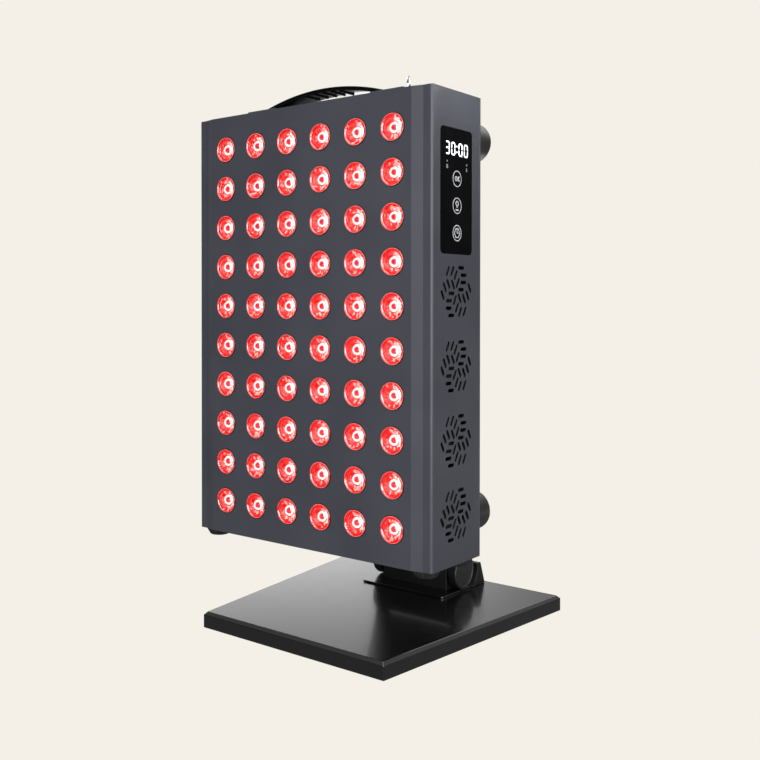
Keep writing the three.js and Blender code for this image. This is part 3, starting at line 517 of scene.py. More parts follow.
def housing_outline():
    """The whole section: sides and face of one thickness, with a lip turned in at each rear edge."""
    outer = housing_section(0, HOUSING_DEPTH)
    inner = housing_section(SHEET, HOUSING_DEPTH - SHEET)
    lip = HALF_WIDTH - REAR_LIP
    right = outer + [(lip, HOUSING_DEPTH), (lip, HOUSING_DEPTH - SHEET)] + inner[::-1]
    left = [(-x, y) for x, y in right[::-1]]
    return right + left


def lens_centres(column):
    x = middle_of(f"led_strip_{column + 1}").x
    return [(x, ((ROWS - 1) / 2 - row) * ROW_PITCH) for row in range(ROWS)]


def side_tool(bm, outline, side, z):
    """A tool that punches an outline through one side wall, centred on the side at a height."""
    near = side * (HALF_WIDTH - 3 * SHEET)
    far = side * (HALF_WIDTH + SHEET)
    prism(bm, outline, "x", min(near, far), max(near, far), on_panel(0, SIDE_MIDDLE, z))


def rosette_tools(bm, z):
    """Sectors of four level slots each, turned about the fan's axis."""
    outline = capsule(SLOT_LENGTH, SLOT_WIDTH)
    for sector in range(ROSETTE_SECTORS):
        turn = Matrix.Rotation(2 * math.pi * sector / ROSETTE_SECTORS, 2)
        for along, across in ROSETTE_SHARES:
            middle = Vector((along, across)) * ROSETTE_REACH
            points = [turn @ (Vector(point) + middle) for point in outline]
            side_tool(bm, [(p.x, p.y) for p in points], 1, z)


def side_tools(bm):
    """Openings for the glass and the rosettes at the right, and for the air inlets at the left."""
    glass = rounded_rectangle(GLASS_WIDTH + 2 * GAP, GLASS_HEIGHT + 2 * GAP, GLASS_CORNER + GAP)
    side_tool(bm, glass, 1, GLASS_RISE)
    for rise in FAN_RISES:
        rosette_tools(bm, rise)
    centre = (FAN_RISES[0] + FAN_RISES[-1]) / 2
    for i in range(INTAKE_COUNT):
        slot = capsule(INTAKE_LENGTH, INTAKE_WIDTH)
        side_tool(bm, slot, -1, centre + (i - (INTAKE_COUNT - 1) / 2) * INTAKE_PITCH)


def paint_shade_in_slot_walls(obj):
    """Painted shade: the right side's openings get edges in the black finish, as dark as the inside, so each
    slot reads black at a slant.
    """
    obj.data.materials.append(FINISH["satin_black"])
    middle = on_panel(0, SIDE_MIDDLE, 0)
    for face in obj.data.polygons:
        x, y, z = face.center
        in_wall = HALF_WIDTH - SHEET < x < HALF_WIDTH and abs(face.normal.x) < 0.5
        off_folds = abs(y - middle.y) < ROSETTE_REACH + SLOT_WIDTH
        off_ends = abs(z - middle.z) < HALF_HEIGHT - 3 * SHEET
        face.material_index = 1 if in_wall and off_folds and off_ends else 0


def housing():
    bm = bmesh.new()
    prism(bm, housing_outline(), "z", -HALF_HEIGHT, HALF_HEIGHT, on_panel(0, 0, 0))
    obj = new_object("folded_housing", bm, ["powder_coat"])
    tools = bmesh.new()
    hole = [(0, -SHEET), (LENS_HOLE, -SHEET), (LENS_HOLE, 3 * SHEET), (0, 3 * SHEET)]
    for column in range(COLUMNS):
        for x, z in lens_centres(column):
            turned(tools, hole, "y", on_panel(x, 0, z), HOLE_SIDES)
    side_tools(tools)
    cut(obj, tools)
    paint_shade_in_slot_walls(obj)
    soften(obj, 0.2)
    assemble(obj, "panel", "graphite_paint", "housing")


# Lenses
LENS_SEED = 40
LENS_SECTORS = 36
CLEAR, RIM, SHADE, RED, PAINTED_HIGHLIGHT, FROST_AND_PAINTED_REFLECTION, CORE = range(7)
LENS_FINISHES = ["clear_acrylic", "rim_acrylic", "painted_shade_acrylic", "red_acrylic", "painted_highlight_acrylic"]
LENS_FINISHES += ["frost_and_painted_reflection_acrylic", "lens_core"]
# A ring's radius and height above the face in millimetres, how far its facets' corners stray, and the finish
# up to it. The rings run from the clear dome's middle out to the rim, then back in along the lit dish behind.
LENS_RINGS = [
    (1.5, 2.59, 0, CLEAR), (3.0, 2.5, 0, CLEAR), (4.2, 2.35, 0, CLEAR), (5.0, 2.15, 0, CLEAR),
    (5.8, 1.83, 0, CLEAR), (6.6, 1.4, 0, CLEAR), (7.3, 0.95, 0, CLEAR), (8.0, 0.4, 0, CLEAR),
    (8.6, -0.1, 0, CLEAR), (9.1, -0.35, 0, CLEAR), (9.8, -0.3, 0, CLEAR), (10.4, 0.1, 0, CLEAR),
    (10.6, 0.5, 0, RED), (10.8, 0.66, 0, RED), (11.05, 0.62, 0, RIM), (11.25, 0.42, 0, SHADE),
    (11.45, 0.1, 0, SHADE), (11.45, -1.5, 0, SHADE), (11.0, -1.6, 0, SHADE), (10.6, -1.1, 0, RED),
    (9.4, -1.5, 0.2, RED), (8.2, -2.0, 0.3, RED), (7.0, -2.6, 0.3, RED), (5.8, -3.2, 0.3, RED),
    (4.6, -3.8, 0.25, RED), (3.7, -4.3, 0, RED), (3.5, -4.4, 0, FROST_AND_PAINTED_REFLECTION), (2.1, -4.5, 0, FROST_AND_PAINTED_REFLECTION),
    (1.9, -4.3, 0, CORE), (0.8, -4.1, 0, CORE),
]
GATE_HALF_ANGLE = 9  # degrees, of the moulding gates at the rim's left and right
# From the chip's middle: the painted reflection of a softbox at its right, the red notch past it, and the
# calm red left of it, where no painted highlight goes
PAINTED_REFLECTION_NEAR = 2.2 * MM
PAINTED_REFLECTION_FAR = 6.4 * MM
PAINTED_REFLECTION_HALF = 4.2 * MM
NOTCH_HALF = 2 * MM
CALM_NEAR = 3 * MM
CALM_HALF = 4.5 * MM
BOARD_THICKNESS = 1.6 * MM
BOARD_CORNER = 2 * MM


def in_gate(sector):
    turn = (sector + 0.5) * 360 / LENS_SECTORS
    return min(turn % 180, 180 - turn % 180) < GATE_HALF_ANGLE


def painted_highlight_streaks(chance):
    """The rings between which each sector's facets carry the painted highlight: many at the right, hardly any
    at the left.
    """
    streaks = []
    dish = [i for i, ring in enumerate(LENS_RINGS) if ring[2]]
    for sector in range(LENS_SECTORS):
        turn = 2 * math.pi * sector / LENS_SECTORS
        share = 0.5 + 0.45 * math.cos(turn) - 0.1 * math.sin(turn)
        start = chance.choice(dish)
        length = chance.choice((2, 3, 5)) if chance.random() < share else 0
        streaks.append((start, start + length))
    return streaks


def dish_finish(x, z, in_streak):
    """A facet's finish by its place: a painted softbox reflection right of the chip, or red with painted
    highlight streaks.
    """
    if PAINTED_REFLECTION_NEAR < x < PAINTED_REFLECTION_FAR and abs(z) < PAINTED_REFLECTION_HALF:
        return FROST_AND_PAINTED_REFLECTION
    notch = x > PAINTED_REFLECTION_FAR and abs(z) < NOTCH_HALF
    calm = x < -CALM_NEAR and abs(z) < CALM_HALF
    return PAINTED_HIGHLIGHT if in_streak and not (notch or calm) else RED


def lens(bm, centre, chance):
    """Turned lens: a clear dome over a red dish that is broken into small facets."""
    rings = []
    for ring, (radius, height, stray, _) in enumerate(LENS_RINGS):
        verts = []
        half_step = 0.5 if stray and ring % 2 else 0
        for sector in range(LENS_SECTORS):
            t = 2 * math.pi * (sector + half_step) / LENS_SECTORS
            lift = height + chance.uniform(-stray, stray)
            place = Vector((radius * math.cos(t), -lift, radius * math.sin(t))) * MM
            verts.append(bm.verts.new(place + centre))
        rings.append(verts)
    streaks = painted_highlight_streaks(chance)
    for i, face in enumerate(skin(bm, rings, capped=False)):
        step, sector = divmod(i, LENS_SECTORS)
        inner, outer = LENS_RINGS[step], LENS_RINGS[step + 1]
        face.material_index = SHADE if outer[3] == RIM and in_gate(sector) else outer[3]
        # Dish facets are red, with painted highlight streaks and a painted softbox reflection right of the
        # chip
        if outer[2]:
            middle = face.calc_center_median() - centre
            first, last = streaks[sector]
            face.material_index = dish_finish(middle.x, middle.z, first <= step + 1 < last)
        face.smooth = not (inner[2] or outer[2])
    front = bm.faces.new(rings[0])
    front.material_index = CLEAR
    front.smooth = True
    bm.faces.new(rings[-1]).material_index = CORE


def lens_column(column):
    """One column of lenses in one piece, and the circuit board behind it."""
    chance = random.Random(LENS_SEED + column)
    bm = bmesh.new()
    for x, z in lens_centres(column):
        lens(bm, on_panel(x, 0, z), chance)
    obj = new_object(f"lens_column_{column + 1}", bm, LENS_FINISHES)
    assemble(obj, "panel", "red_lens", f"led_strip_{column + 1}")
    low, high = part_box(f"led_strip_{column + 1}")
    middle = middle_of(f"led_strip_{column + 1}")
    board = bmesh.new()
    outline = rounded_rectangle(high[0] - low[0], high[2] - low[2], BOARD_CORNER)
    prism(board, outline, "y", high[1] - BOARD_THICKNESS, high[1], (middle.x, 0, middle.z))
    strip = new_object(f"led_board_{column + 1}", board, ["circuit_laminate"])
    soften(strip, 0.15)
    assemble(strip, "panel", "circuit_board")


# Control glass, with its print in millimetres back from the face and up from the panel's middle
DIGITS = (("3", 22.2), ("0", 30.6), ("0", 41.6), ("0", 50.0))
DIGIT_RISE = 140.2
DIGIT_WIDTH = 4.8
DIGIT_HEIGHT = 9.4
DIGIT_STROKE = 1.2
SEGMENT_GAP = 0.3
SEGMENTS = {"0": "abcdef", "3": "abcdg"}
COLON_PLACE = 38.5
COLON_RISES = (142.6, 147.2)
COLON_SIZE = (1.2, 1.4, 0.4)  # width, height and corner
MARK_PLACE = 39
OK_RISE, LAMP_RISE, CLOCK_RISE = 121.2, 99.4, 77.3
MARK_RING = (6.6, 5.9)
MARK_STROKE = 0.9
# Each indicator's place, rise, width and height
INDICATORS = (
    (23.8, 129.9, 2.4, 3.4), (23.8, 134.2, 1.4, 1.6),
    (53.5, 129.6, 1.3, 3.2), (53.5, 133.6, 1.4, 2.0),
)
INDICATOR_CORNER = 0.5


def control_glass():
    bm = bmesh.new()
    outline = rounded_rectangle(GLASS_WIDTH, GLASS_HEIGHT, GLASS_CORNER)
    back = HALF_WIDTH - GLASS_THICKNESS
    prism(bm, outline, "x", back, HALF_WIDTH - GLASS_SINK, on_panel(0, SIDE_MIDDLE, GLASS_RISE))
    glass = new_object("touch_glass", bm, ["display_acrylic"])
    soften(glass, 0.25)
    assemble(glass, "panel", "black_glass", "control_glass")


def print_shape(bm, outline, y, z):
    """A flat shape of print, given in millimetres, on the glass."""
    face = HALF_WIDTH - GLASS_SINK
    place = on_panel(0, y * MM, z * MM)
    prism(bm, millimetres(outline), "x", face - PRINT_ROOT, face + PRINT_PROUD, place)


def print_stroke(bm, outline, y, z, turn):
    """A flat shape of print, turned on the glass by an angle in degrees."""
    spin = Matrix.Rotation(math.radians(turn), 2)
    points = [spin @ Vector(point) for point in outline]
    print_shape(bm, [(p.x, p.y) for p in points], y, z)


def print_ring(bm, y, z, outer, inner, sides=48):
    """A flat ring of print on the glass."""
    face = HALF_WIDTH - GLASS_SINK
    levels = [(outer, -PRINT_ROOT), (outer, PRINT_PROUD), (inner, PRINT_PROUD), (inner, -PRINT_ROOT)]
    rings = []
    for radius, lift in levels:
        places = [on_panel(face + lift, (y + u) * MM, (z + v) * MM) for u, v in circle(radius, sides)]
        rings.append([bm.verts.new(place) for place in places])
    skin(bm, rings, closed=True)


def segment_places():
    """Middle and turn of each of a digit's seven segments."""
    half = DIGIT_HEIGHT / 2
    centre = DIGIT_WIDTH / 2
    return {
        "a": (centre, DIGIT_HEIGHT, 0), "b": (DIGIT_WIDTH, half * 1.5, 90), "c": (DIGIT_WIDTH, half / 2, 90),
        "d": (centre, 0, 0), "e": (0, half / 2, 90), "f": (0, half * 1.5, 90), "g": (centre, half, 0),
    }


def segment_outline(length):
    """A bar with pointed ends."""
    half = length / 2
    tip = DIGIT_STROKE / 2
    flat = half - tip
    return [(-half, 0), (-flat, -tip), (flat, -tip), (half, 0), (flat, tip), (-flat, tip)]


def display_digits():
    """Four lit numbers and the colon between them."""
    bm = bmesh.new()
    for character, y in DIGITS:
        for name in SEGMENTS[character]:
            across, up, turn = segment_places()[name]
            length = (DIGIT_HEIGHT / 2 if turn else DIGIT_WIDTH) - SEGMENT_GAP
            print_stroke(bm, segment_outline(length), y + across, DIGIT_RISE + up, turn)
    for z in COLON_RISES:
        print_shape(bm, rounded_rectangle(*COLON_SIZE, steps=3), COLON_PLACE, z)
    assemble(new_object("display_digits", bm, ["lit_segments"]), "panel", "black_glass")


def mark_stroke(bm, across, up, length, turn=0, width=MARK_STROKE):
    print_stroke(bm, capsule(length, width, 4), MARK_PLACE + across, up, turn)


def touch_marks():
    """Three ringed touch marks: OK, a lamp over a bar, and a clock in a hexagon."""
    bm = bmesh.new()
    for rise in (OK_RISE, LAMP_RISE, CLOCK_RISE):
        print_ring(bm, MARK_PLACE, rise, *MARK_RING)
    print_ring(bm, MARK_PLACE - 1.7, OK_RISE, 2.0, 1.1, 24)
    mark_stroke(bm, 1.4, OK_RISE, 4.2, 90)
    mark_stroke(bm, 2.6, OK_RISE + 1.1, 3.0, 50)
    mark_stroke(bm, 2.6, OK_RISE - 1.1, 3.0, -50)
    print_ring(bm, MARK_PLACE, LAMP_RISE + 1.8, 2.3, 1.3, 24)
    mark_stroke(bm, 0, LAMP_RISE - 1.0, 1.8)
    mark_stroke(bm, 0, LAMP_RISE - 3.4, 4.8, width=1.3)
    print_ring(bm, MARK_PLACE, CLOCK_RISE, 4.5, 3.5, 6)
    mark_stroke(bm, 0, CLOCK_RISE + 1.1, 3.2, 90)
    mark_stroke(bm, 1.0, CLOCK_RISE, 2.6)
    assemble(new_object("touch_marks", bm, ["screen_print"]), "panel", "black_glass")


def indicator_marks():
    """Small unlit indicators below the digits."""
    bm = bmesh.new()
    for y, z, width, height in INDICATORS:
        print_shape(bm, rounded_rectangle(width, height, INDICATOR_CORNER, steps=3), y, z)
    assemble(new_object("indicator_marks", bm, ["faint_print"]), "panel", "black_glass")


# Strap, eyes, bumpers and feet
STRAP_HALF = 66.5 * MM
STRAP_END = 0.8 * MM  # from the arch's foot to the strap's cut end
STRAP_RISE = 10.2 * MM
STRAP_SEAT = 7.7 * MM  # underside of its flat ends, above the panel
STRAP_WIDTH = 24 * MM
STRAP_THICKNESS = 3.5 * MM
STRAP_CORNER = 1 * MM
STRAP_STEPS = 56
RIB_PLACES = (-19.4, -9.7, 0, 9.7, 19.4)  # in millimetres
RIB_WIDTH = 1.7 * MM
RIB_HEIGHT = 2.4 * MM
RIB_CORNER = 0.6 * MM
RIB_DROP = 0.2 * MM  # its middle below the strap's underside
RIB_FRONT = 11.5 * MM
RIB_REAR = 8 * MM
EYE_RISE = 19.8 * MM
EYE_RING = 5.5 * MM
EYE_WIRE = 1.0 * MM
EYE_TURN = -46  # degrees
BUMPER_ROUND = 4 * MM  # of the rim
BUMPER_CHAMFER = 0.6 * MM  # against the rear cover
FOOT_RIPPLE = 0.34 * MM
# Profiles, in millimetres: radius, and height above the panel for the eye, above the toe for the foot,
# and depth below the rim for the bumper's well and the screw in it
EYE_COLLAR = [(0, 0.3), (3.0, 0.3), (3.2, 0.5), (3.2, 2.4), (3.0, 2.7), (1.8, 2.7), (1.8, 13.6), (1.5, 14.6)]
EYE_COLLAR += [(0, 14.8)]
EYE_TAIL = [(0, -9.0), (1.6, -9.0), (1.8, -8.8), (1.8, 0.4), (0, 0.4)]
BUMPER_WELL = [(4.4, 0), (4.0, 0.4), (4.0, 9)]
BUMPER_SCREW = [(3.9, 9), (3.7, 8.2), (2.4, 7.2), (0, 7)]
FOOT_PROFILE = [(0, 6), (11.5, 6), (11.5, 5.2), (9.6, 2), (8.9, 0.8), (8.1, 0), (5, 0), (4.6, 0.8), (0, 0.8)]


def strap_crown(x):
    """Height of the strap's outer side above the panel."""
    return STRAP_SEAT + STRAP_RISE * (1 - (x / STRAP_HALF) ** 2)


def carrying_strap():
    """Arched strap swept from a rounded section; its ends lie flat on the pad."""
    bm = bmesh.new()
    section = rounded_rectangle(STRAP_WIDTH, STRAP_THICKNESS, STRAP_CORNER, steps=4)
    rings = []
    for i in range(STRAP_STEPS + 1):
        x = (STRAP_HALF - STRAP_END) * (2 * i / STRAP_STEPS - 1)
        slope = math.atan(-2 * STRAP_RISE * x / STRAP_HALF ** 2)
        out = Vector((-math.sin(slope), math.cos(slope)))
        ring = []
        for u, v in section:
            p = Vector((x, strap_crown(x))) + out * (v - STRAP_THICKNESS / 2)
            ring.append(bm.verts.new(on_panel(p.x, SIDE_MIDDLE + u, HALF_HEIGHT + max(p.y, STRAP_SEAT))))
        rings.append(ring)
    skin(bm, rings)
    for place in RIB_PLACES:
        x = place * MM
        rise = strap_crown(x) - STRAP_THICKNESS - RIB_DROP
        rib = rounded_rectangle(RIB_WIDTH, RIB_HEIGHT, RIB_CORNER, x, rise, 4)
        prism(bm, rib, "y", SIDE_MIDDLE - RIB_FRONT, SIDE_MIDDLE + RIB_REAR, on_panel(0, 0, HALF_HEIGHT))
    bmesh.ops.remove_doubles(bm, verts=bm.verts, dist=0.01 * MM)
    obj = new_object("carrying_strap", bm, ["strap_vinyl"])
    shade(obj, 40)
    assemble(obj, "panel", "handle_rubber", "handle")


def hanging_eye(side, name):
    middle = middle_of(f"hanging_eye_{name}")
    foot = Vector((middle.x, middle.y, PANEL_MIDDLE + HALF_HEIGHT))
    bm = bmesh.new()
    ring_wire(bm, foot + Vector((0, 0, EYE_RISE)), EYE_RING, EYE_WIRE, side * EYE_TURN)
    for profile in (EYE_COLLAR, EYE_TAIL):
        turned(bm, millimetres(profile), "z", foot, 32)
    obj = new_object(f"chrome_eye_{name}", bm, ["chrome_plate"])
    shade(obj, 40)
    assemble(obj, "panel", "chrome", f"hanging_eye_{name}")


def bumper(name):
    """Rubber bumper with a rounded rim and a screw at the bottom of its well."""
    node = f"bumper_{name}"
    middle = middle_of(node)
    low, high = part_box(node)
    start, end = low[1], high[1]
    radius = (high[0] - low[0]) / 2
    side = [(0, start), (radius - BUMPER_CHAMFER, start), (radius, start + BUMPER_CHAMFER)]
    rim = arc(radius - BUMPER_ROUND, end - BUMPER_ROUND, BUMPER_ROUND, 0, 90, 8)
    well = [(r * MM, end - depth * MM) for r, depth in BUMPER_WELL]
    screw = [(r * MM, end - depth * MM) for r, depth in BUMPER_SCREW]
    rubber = side + rim + well
    finishes = [0] * len(rubber) + [1] * (len(screw) - 1)
    bm = bmesh.new()
    turned(bm, rubber + screw, "y", (middle.x, 0, middle.z), 64, finishes)
    obj = new_object(f"rubber_{node}", bm, ["nitrile_rubber", "zinc_plate"])
    shade(obj, 40)
    assemble(obj, "panel", "rubber", node)


def panel_foot(name):
    """Tapered rubber foot with a knurled side and a shallow hollow in its toe."""
    node = f"foot_{name}"
    middle = middle_of(node)
    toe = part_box(node)[0][2]
    bm = bmesh.new()
    profile = [(r * MM, toe + h * MM) for r, h in FOOT_PROFILE]
    turned(bm, profile, "z", (middle.x, middle.y, 0), 96, ripple=FOOT_RIPPLE)
    obj = new_object(f"rubber_{node}", bm, ["nitrile_rubber"])
    shade(obj, 40)
    assemble(obj, "panel", "rubber", node)


# Stand
BASE_BEVEL = 2.8 * MM
BASE_WALL = 3 * MM
BASE_CORNER = 0.9 * MM
CORNER_SHARE = 0.1  # of an inset, by which the corner's radius shrinks
CHEEK_RADIUS = 17 * MM
CHEEK_INNER = 41.5 * MM  # from the middle to the arm's cheeks
SEAT_ROOM = 7 * MM  # between the arm's cheeks and the block's round seat
BLOCK_RISE = 3 * MM  # of the block's top above the hinge's axis
BLOCK_TOP = 6.3 * MM
BLOCK_SLOPE = 8.2 * MM
KNUCKLE_FRONT = 14.7 * MM
KNUCKLE_REAR = 28 * MM
KNUCKLE_SHOULDER = 2 * MM  # of its front above the hinge's axis
KNUCKLE_HALF = 37.6 * MM
CROWN_RADIUS = 17 * MM  # nearly closes the slot under the arm
TUBE_RADIUS = 12 * MM
FLANGE_WIDTH = 96 * MM
FLANGE_CORNER = 2.5 * MM
FLANGE_THICKNESS = 1.5 * MM
# Radius in millimetres, and share of the cap's thickness
CAP_PROFILE = [(0, 0), (16.9, 0), (17.0, 0.06), (17.0, 0.72), (16.7, 0.9), (16.1, 1.0), (14.6, 1.0)]
CAP_PROFILE += [(14.2, 0.82), (0, 0.8)]


def base_corners(inset):
    """The base plate's four corners, set in evenly from its outer edge."""
    front = inset - BASE_DEPTH / 2
    back = BASE_DEPTH / 2 - inset
    slope = math.atan2((BASE_REAR - BASE_FRONT) / 2, BASE_DEPTH)
    outer = BASE_FRONT / 2 - inset / math.cos(slope)
    half_front, half_back = [outer + (y + BASE_DEPTH / 2) * math.tan(slope) for y in (front, back)]
    return [(-half_front, front), (half_front, front), (half_back, back), (-half_back, back)]


def base_shell():
    """Pressed cover with bevelled top edges, open underneath."""
    levels = [(BASE_WALL, BASE_TOP - BASE_WALL), (BASE_WALL, BASE_LOW)]
    levels += [(0, BASE_LOW), (0, BASE_TOP - BASE_BEVEL), (BASE_BEVEL, BASE_TOP)]
    bm = bmesh.new()
    rings = []
    for inset, height in levels:
        outline = rounded_corners(base_corners(inset), BASE_CORNER - CORNER_SHARE * inset)
        rings.append([bm.verts.new((x, y, height)) for x, y in outline])
    skin(bm, rings)
    obj = new_object("base_shell", bm, ["stoved_enamel"])
    soften(obj, 0.45, 3)
    assemble(obj, "stand", "black_paint", "base_cover")


def saddle_block(floor):
    """Section of the rear block, with the round seat for the arm's cheeks, about the hinge axis."""
    seat = CHEEK_RADIUS + SEAT_ROOM
    low = math.degrees(math.asin(floor / seat))
    high = math.degrees(math.asin(BLOCK_RISE / seat))
    top = seat * math.cos(math.radians(high)) + BLOCK_TOP
    return arc(0, 0, seat, high, low, 20) + [(top + BLOCK_SLOPE, floor), (top, BLOCK_RISE)]


def hinge_saddle():
    """Rear block, fixed knuckle and its tube, on a foot flange with the base's finish."""
    low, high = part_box("hinge_saddle")
    floor = low[2] - LOWER_AXIS.z
    bm = bmesh.new()
    prism(bm, saddle_block(floor), "x", low[0], high[0], LOWER_AXIS)
    crown = arc(0, 0, CROWN_RADIUS, 0, 140, 28)
    front = [(-KNUCKLE_FRONT, KNUCKLE_SHOULDER), (-KNUCKLE_FRONT, floor)]
    rear = [(KNUCKLE_REAR, floor), (KNUCKLE_REAR, 0)]
    prism(bm, crown + front + rear, "x", -KNUCKLE_HALF, KNUCKLE_HALF, LOWER_AXIS)
    prism(bm, circle(TUBE_RADIUS, 48), "x", GAP - CHEEK_INNER, CHEEK_INNER - GAP, LOWER_AXIS)
    satin = set(bm.faces)
    flange = rounded_rectangle(FLANGE_WIDTH, high[1] - low[1], FLANGE_CORNER)
    prism(bm, flange, "z", low[2], low[2] + FLANGE_THICKNESS, (0, (low[1] + high[1]) / 2, 0))
    for face in set(bm.faces) - satin:
        face.material_index = 1
    obj = new_object("stand_saddle", bm, ["satin_black", "stoved_enamel"])
    soften(obj, 0.35, 3)
    assemble(obj, "stand", "black_paint", "hinge_saddle")


def hinge_cap(end, side, name):
    """Round cap with a dished face and a rounded rim."""
    node = f"{end}_cap_{name}"
    low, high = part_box(node)
    axis = LOWER_AXIS if end == "lower" else UPPER_AXIS
    start = low[0] if side > 0 else high[0]
    rise = (high[0] - low[0]) * side
    bm = bmesh.new()
    turned(bm, [(r * MM, start + rise * h) for r, h in CAP_PROFILE], "x", (0, axis.y, axis.z), 72)
    obj = new_object(f"hinge_{node}", bm, ["moulded_abs"])
    shade(obj, 35)
    assemble(obj, "arm", "black_plastic", node)


# Mains inlet, in millimetres from its middle
FLANGE_DEPTH = 2.5
INLET_CORNER = 3
BODY_SIZE = (28, 20.5, 2)  # width, height and corner
BODY_STEP = 0.4
SOCKET_CORNERS = [(-12, -8.2), (12, -8.2), (12, 4.2), (8, 8.2), (-8, 8.2), (-12, 4.2)]
SOCKET_ROUND = 1.2
SOCKET_DEPTH = 19
PIN_PLACES = ((-7, -3), (7, -3), (0, 3))
PIN_SIZE = (2, 4, 0.5)  # width, height and corner
PIN_ROOT = 19.4
PIN_TIP = 8
SCREW_PLACES = (-20, 20)
SCREW_HEAD = [(0, -0.6), (3.0, -0.6), (2.9, 0.5), (2.0, 1.1), (0, 1.3)]


def mains_inlet():
    """Flanged inlet with an open socket, three pins and two screws."""
    middle = middle_of("mains_inlet")
    low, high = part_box("mains_inlet")
    face = high[1]
    centre = (middle.x, 0, middle.z)
    bm = bmesh.new()
    flange = rounded_rectangle(high[0] - low[0], high[2] - low[2], INLET_CORNER * MM)
    prism(bm, flange, "y", face - FLANGE_DEPTH * MM, face, centre)
    prism(bm, millimetres(rounded_rectangle(*BODY_SIZE)), "y", low[1], face - BODY_STEP * MM, centre)
    obj = new_object("inlet_shell", bm, ["moulded_abs"])
    tools = bmesh.new()
    socket = millimetres(rounded_corners(SOCKET_CORNERS, SOCKET_ROUND, 4))
    prism(tools, socket, "y", face - SOCKET_DEPTH * MM, face + MM, centre)
    cut(obj, tools)
    soften(obj, 0.3)
    assemble(obj, "panel", "black_plastic", "mains_inlet")
    metal = bmesh.new()
    pin = millimetres(rounded_rectangle(*PIN_SIZE, steps=3))
    for x, z in PIN_PLACES:
        place = (middle.x + x * MM, 0, middle.z + z * MM)
        prism(metal, pin, "y", face - PIN_ROOT * MM, face - PIN_TIP * MM, place)
    head = [(r * MM, face + h * MM) for r, h in SCREW_HEAD]
    for x in SCREW_PLACES:
        turned(metal, head, "y", (middle.x + x * MM, 0, middle.z), 24)
    pins = new_object("inlet_pins", metal, ["nickel_plate"])
    shade(pins, 40)
    assemble(pins, "panel", "steel")


# Carried-over CAD pieces
SHARP_ANGLE = 34  # degrees between two faces of a solid, above which their edge stays sharp
WELD_REACH = 0.005 * MM


def smooth_by_angle():
    """Geometry nodes that shade a CAD solid smooth, apart from its real edges."""
    group = bpy.data.node_groups.new("smooth_by_angle", "GeometryNodeTree")
    group.interface.new_socket("Geometry", in_out="INPUT", socket_type="NodeSocketGeometry")
    group.interface.new_socket("Geometry", in_out="OUTPUT", socket_type="NodeSocketGeometry")
    source = add_node(group, "NodeGroupInput").outputs[0]
    angle = add_node(group, "GeometryNodeInputMeshEdgeAngle").outputs["Unsigned Angle"]
    sharp = {"A": angle, "B": math.radians(SHARP_ANGLE)}
    limit = add_node(group, "FunctionNodeCompare", {"operation": "GREATER_THAN"}, sharp)
    faces = {"Geometry": source, "Shade Smooth": True}
    faces = add_node(group, "GeometryNodeSetShadeSmooth", {"domain": "FACE"}, faces)
    edges = {"Geometry": faces.outputs[0], "Selection": limit.outputs["Result"], "Shade Smooth": False}
    edges = add_node(group, "GeometryNodeSetShadeSmooth", {"domain": "EDGE"}, edges)
    add_node(group, "NodeGroupOutput", inputs={"Geometry": edges.outputs[0]})
    return group


SMOOTH = smooth_by_angle()


def dress(finish, bevel_mm, *names):
    """A finish, smooth shading and rounded edges for CAD nodes whose shape is right."""
    for name in names:
        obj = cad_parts[name]
        obj.data.materials.clear()
        obj.data.materials.append(FINISH[finish])
        weld = obj.modifiers.new("weld", "WELD")
        weld.merge_threshold = WELD_REACH
        smooth = obj.modifiers.new("smooth", "NODES")
        smooth.node_group = SMOOTH
        if bevel_mm:
            round_edges(obj, bevel_mm)


# Studio
BACKDROP = "#f4f0e7"
WHITE = "#ffffff"
FLOOR_GLOW = 0.2
FLOOR_REACH = 6  # metres
FLOOR_DEPTH = 0.02
CAMERA_PLACE = (0.55051, -0.75007, 0.29847)
CAMERA_TILT = 89.287  # degrees from straight down
CAMERA_TURN = 39.399  # degrees about Z
CAMERA_SHIFT = (0.0766, -0.0852)
FOCAL_LENGTH = 46.48
FILM_WIDTH = 36
PANEL_HEART = (0.05, -0.09, 0.3)
# Each light's name, place, target, width and height in metres, and radiance
STUDIO_LIGHTS = (
    ("front_softbox", (0.563, -1.5, 0.4), PANEL_HEART, (0.8, 1.4), 6.1),
    ("key_softbox", (1.2, -1.054, 0.4), PANEL_HEART, (0.8, 1.4), 8.2),
    ("side_softbox", (1.527, -0.35, 0.4), PANEL_HEART, (0.8, 1.4), 3.05),
    ("table_card", (0.6, -0.8, 0.01), (0.6, -0.8, 1), (0.6, 0.6), 2.2),
    ("rear_softbox", (0.12, 1.7, 1.5), (0, 0.1, 0.3), (1.0, 0.8), 1.5),
    ("left_softbox", (-1.6, 0.35, 0.5), (-0.1, 0.1, 0.3), (0.8, 1.0), 2),
    ("rear_card", (-0.1, 0.75, 0.01), (-0.1, 0.75, 1), (0.8, 0.6), 2.5),
    ("top_edge_strip", (0.182, -0.045, 0.5), (0.13, -0.045, 0.45), (0.02, 0.12), 18),
)


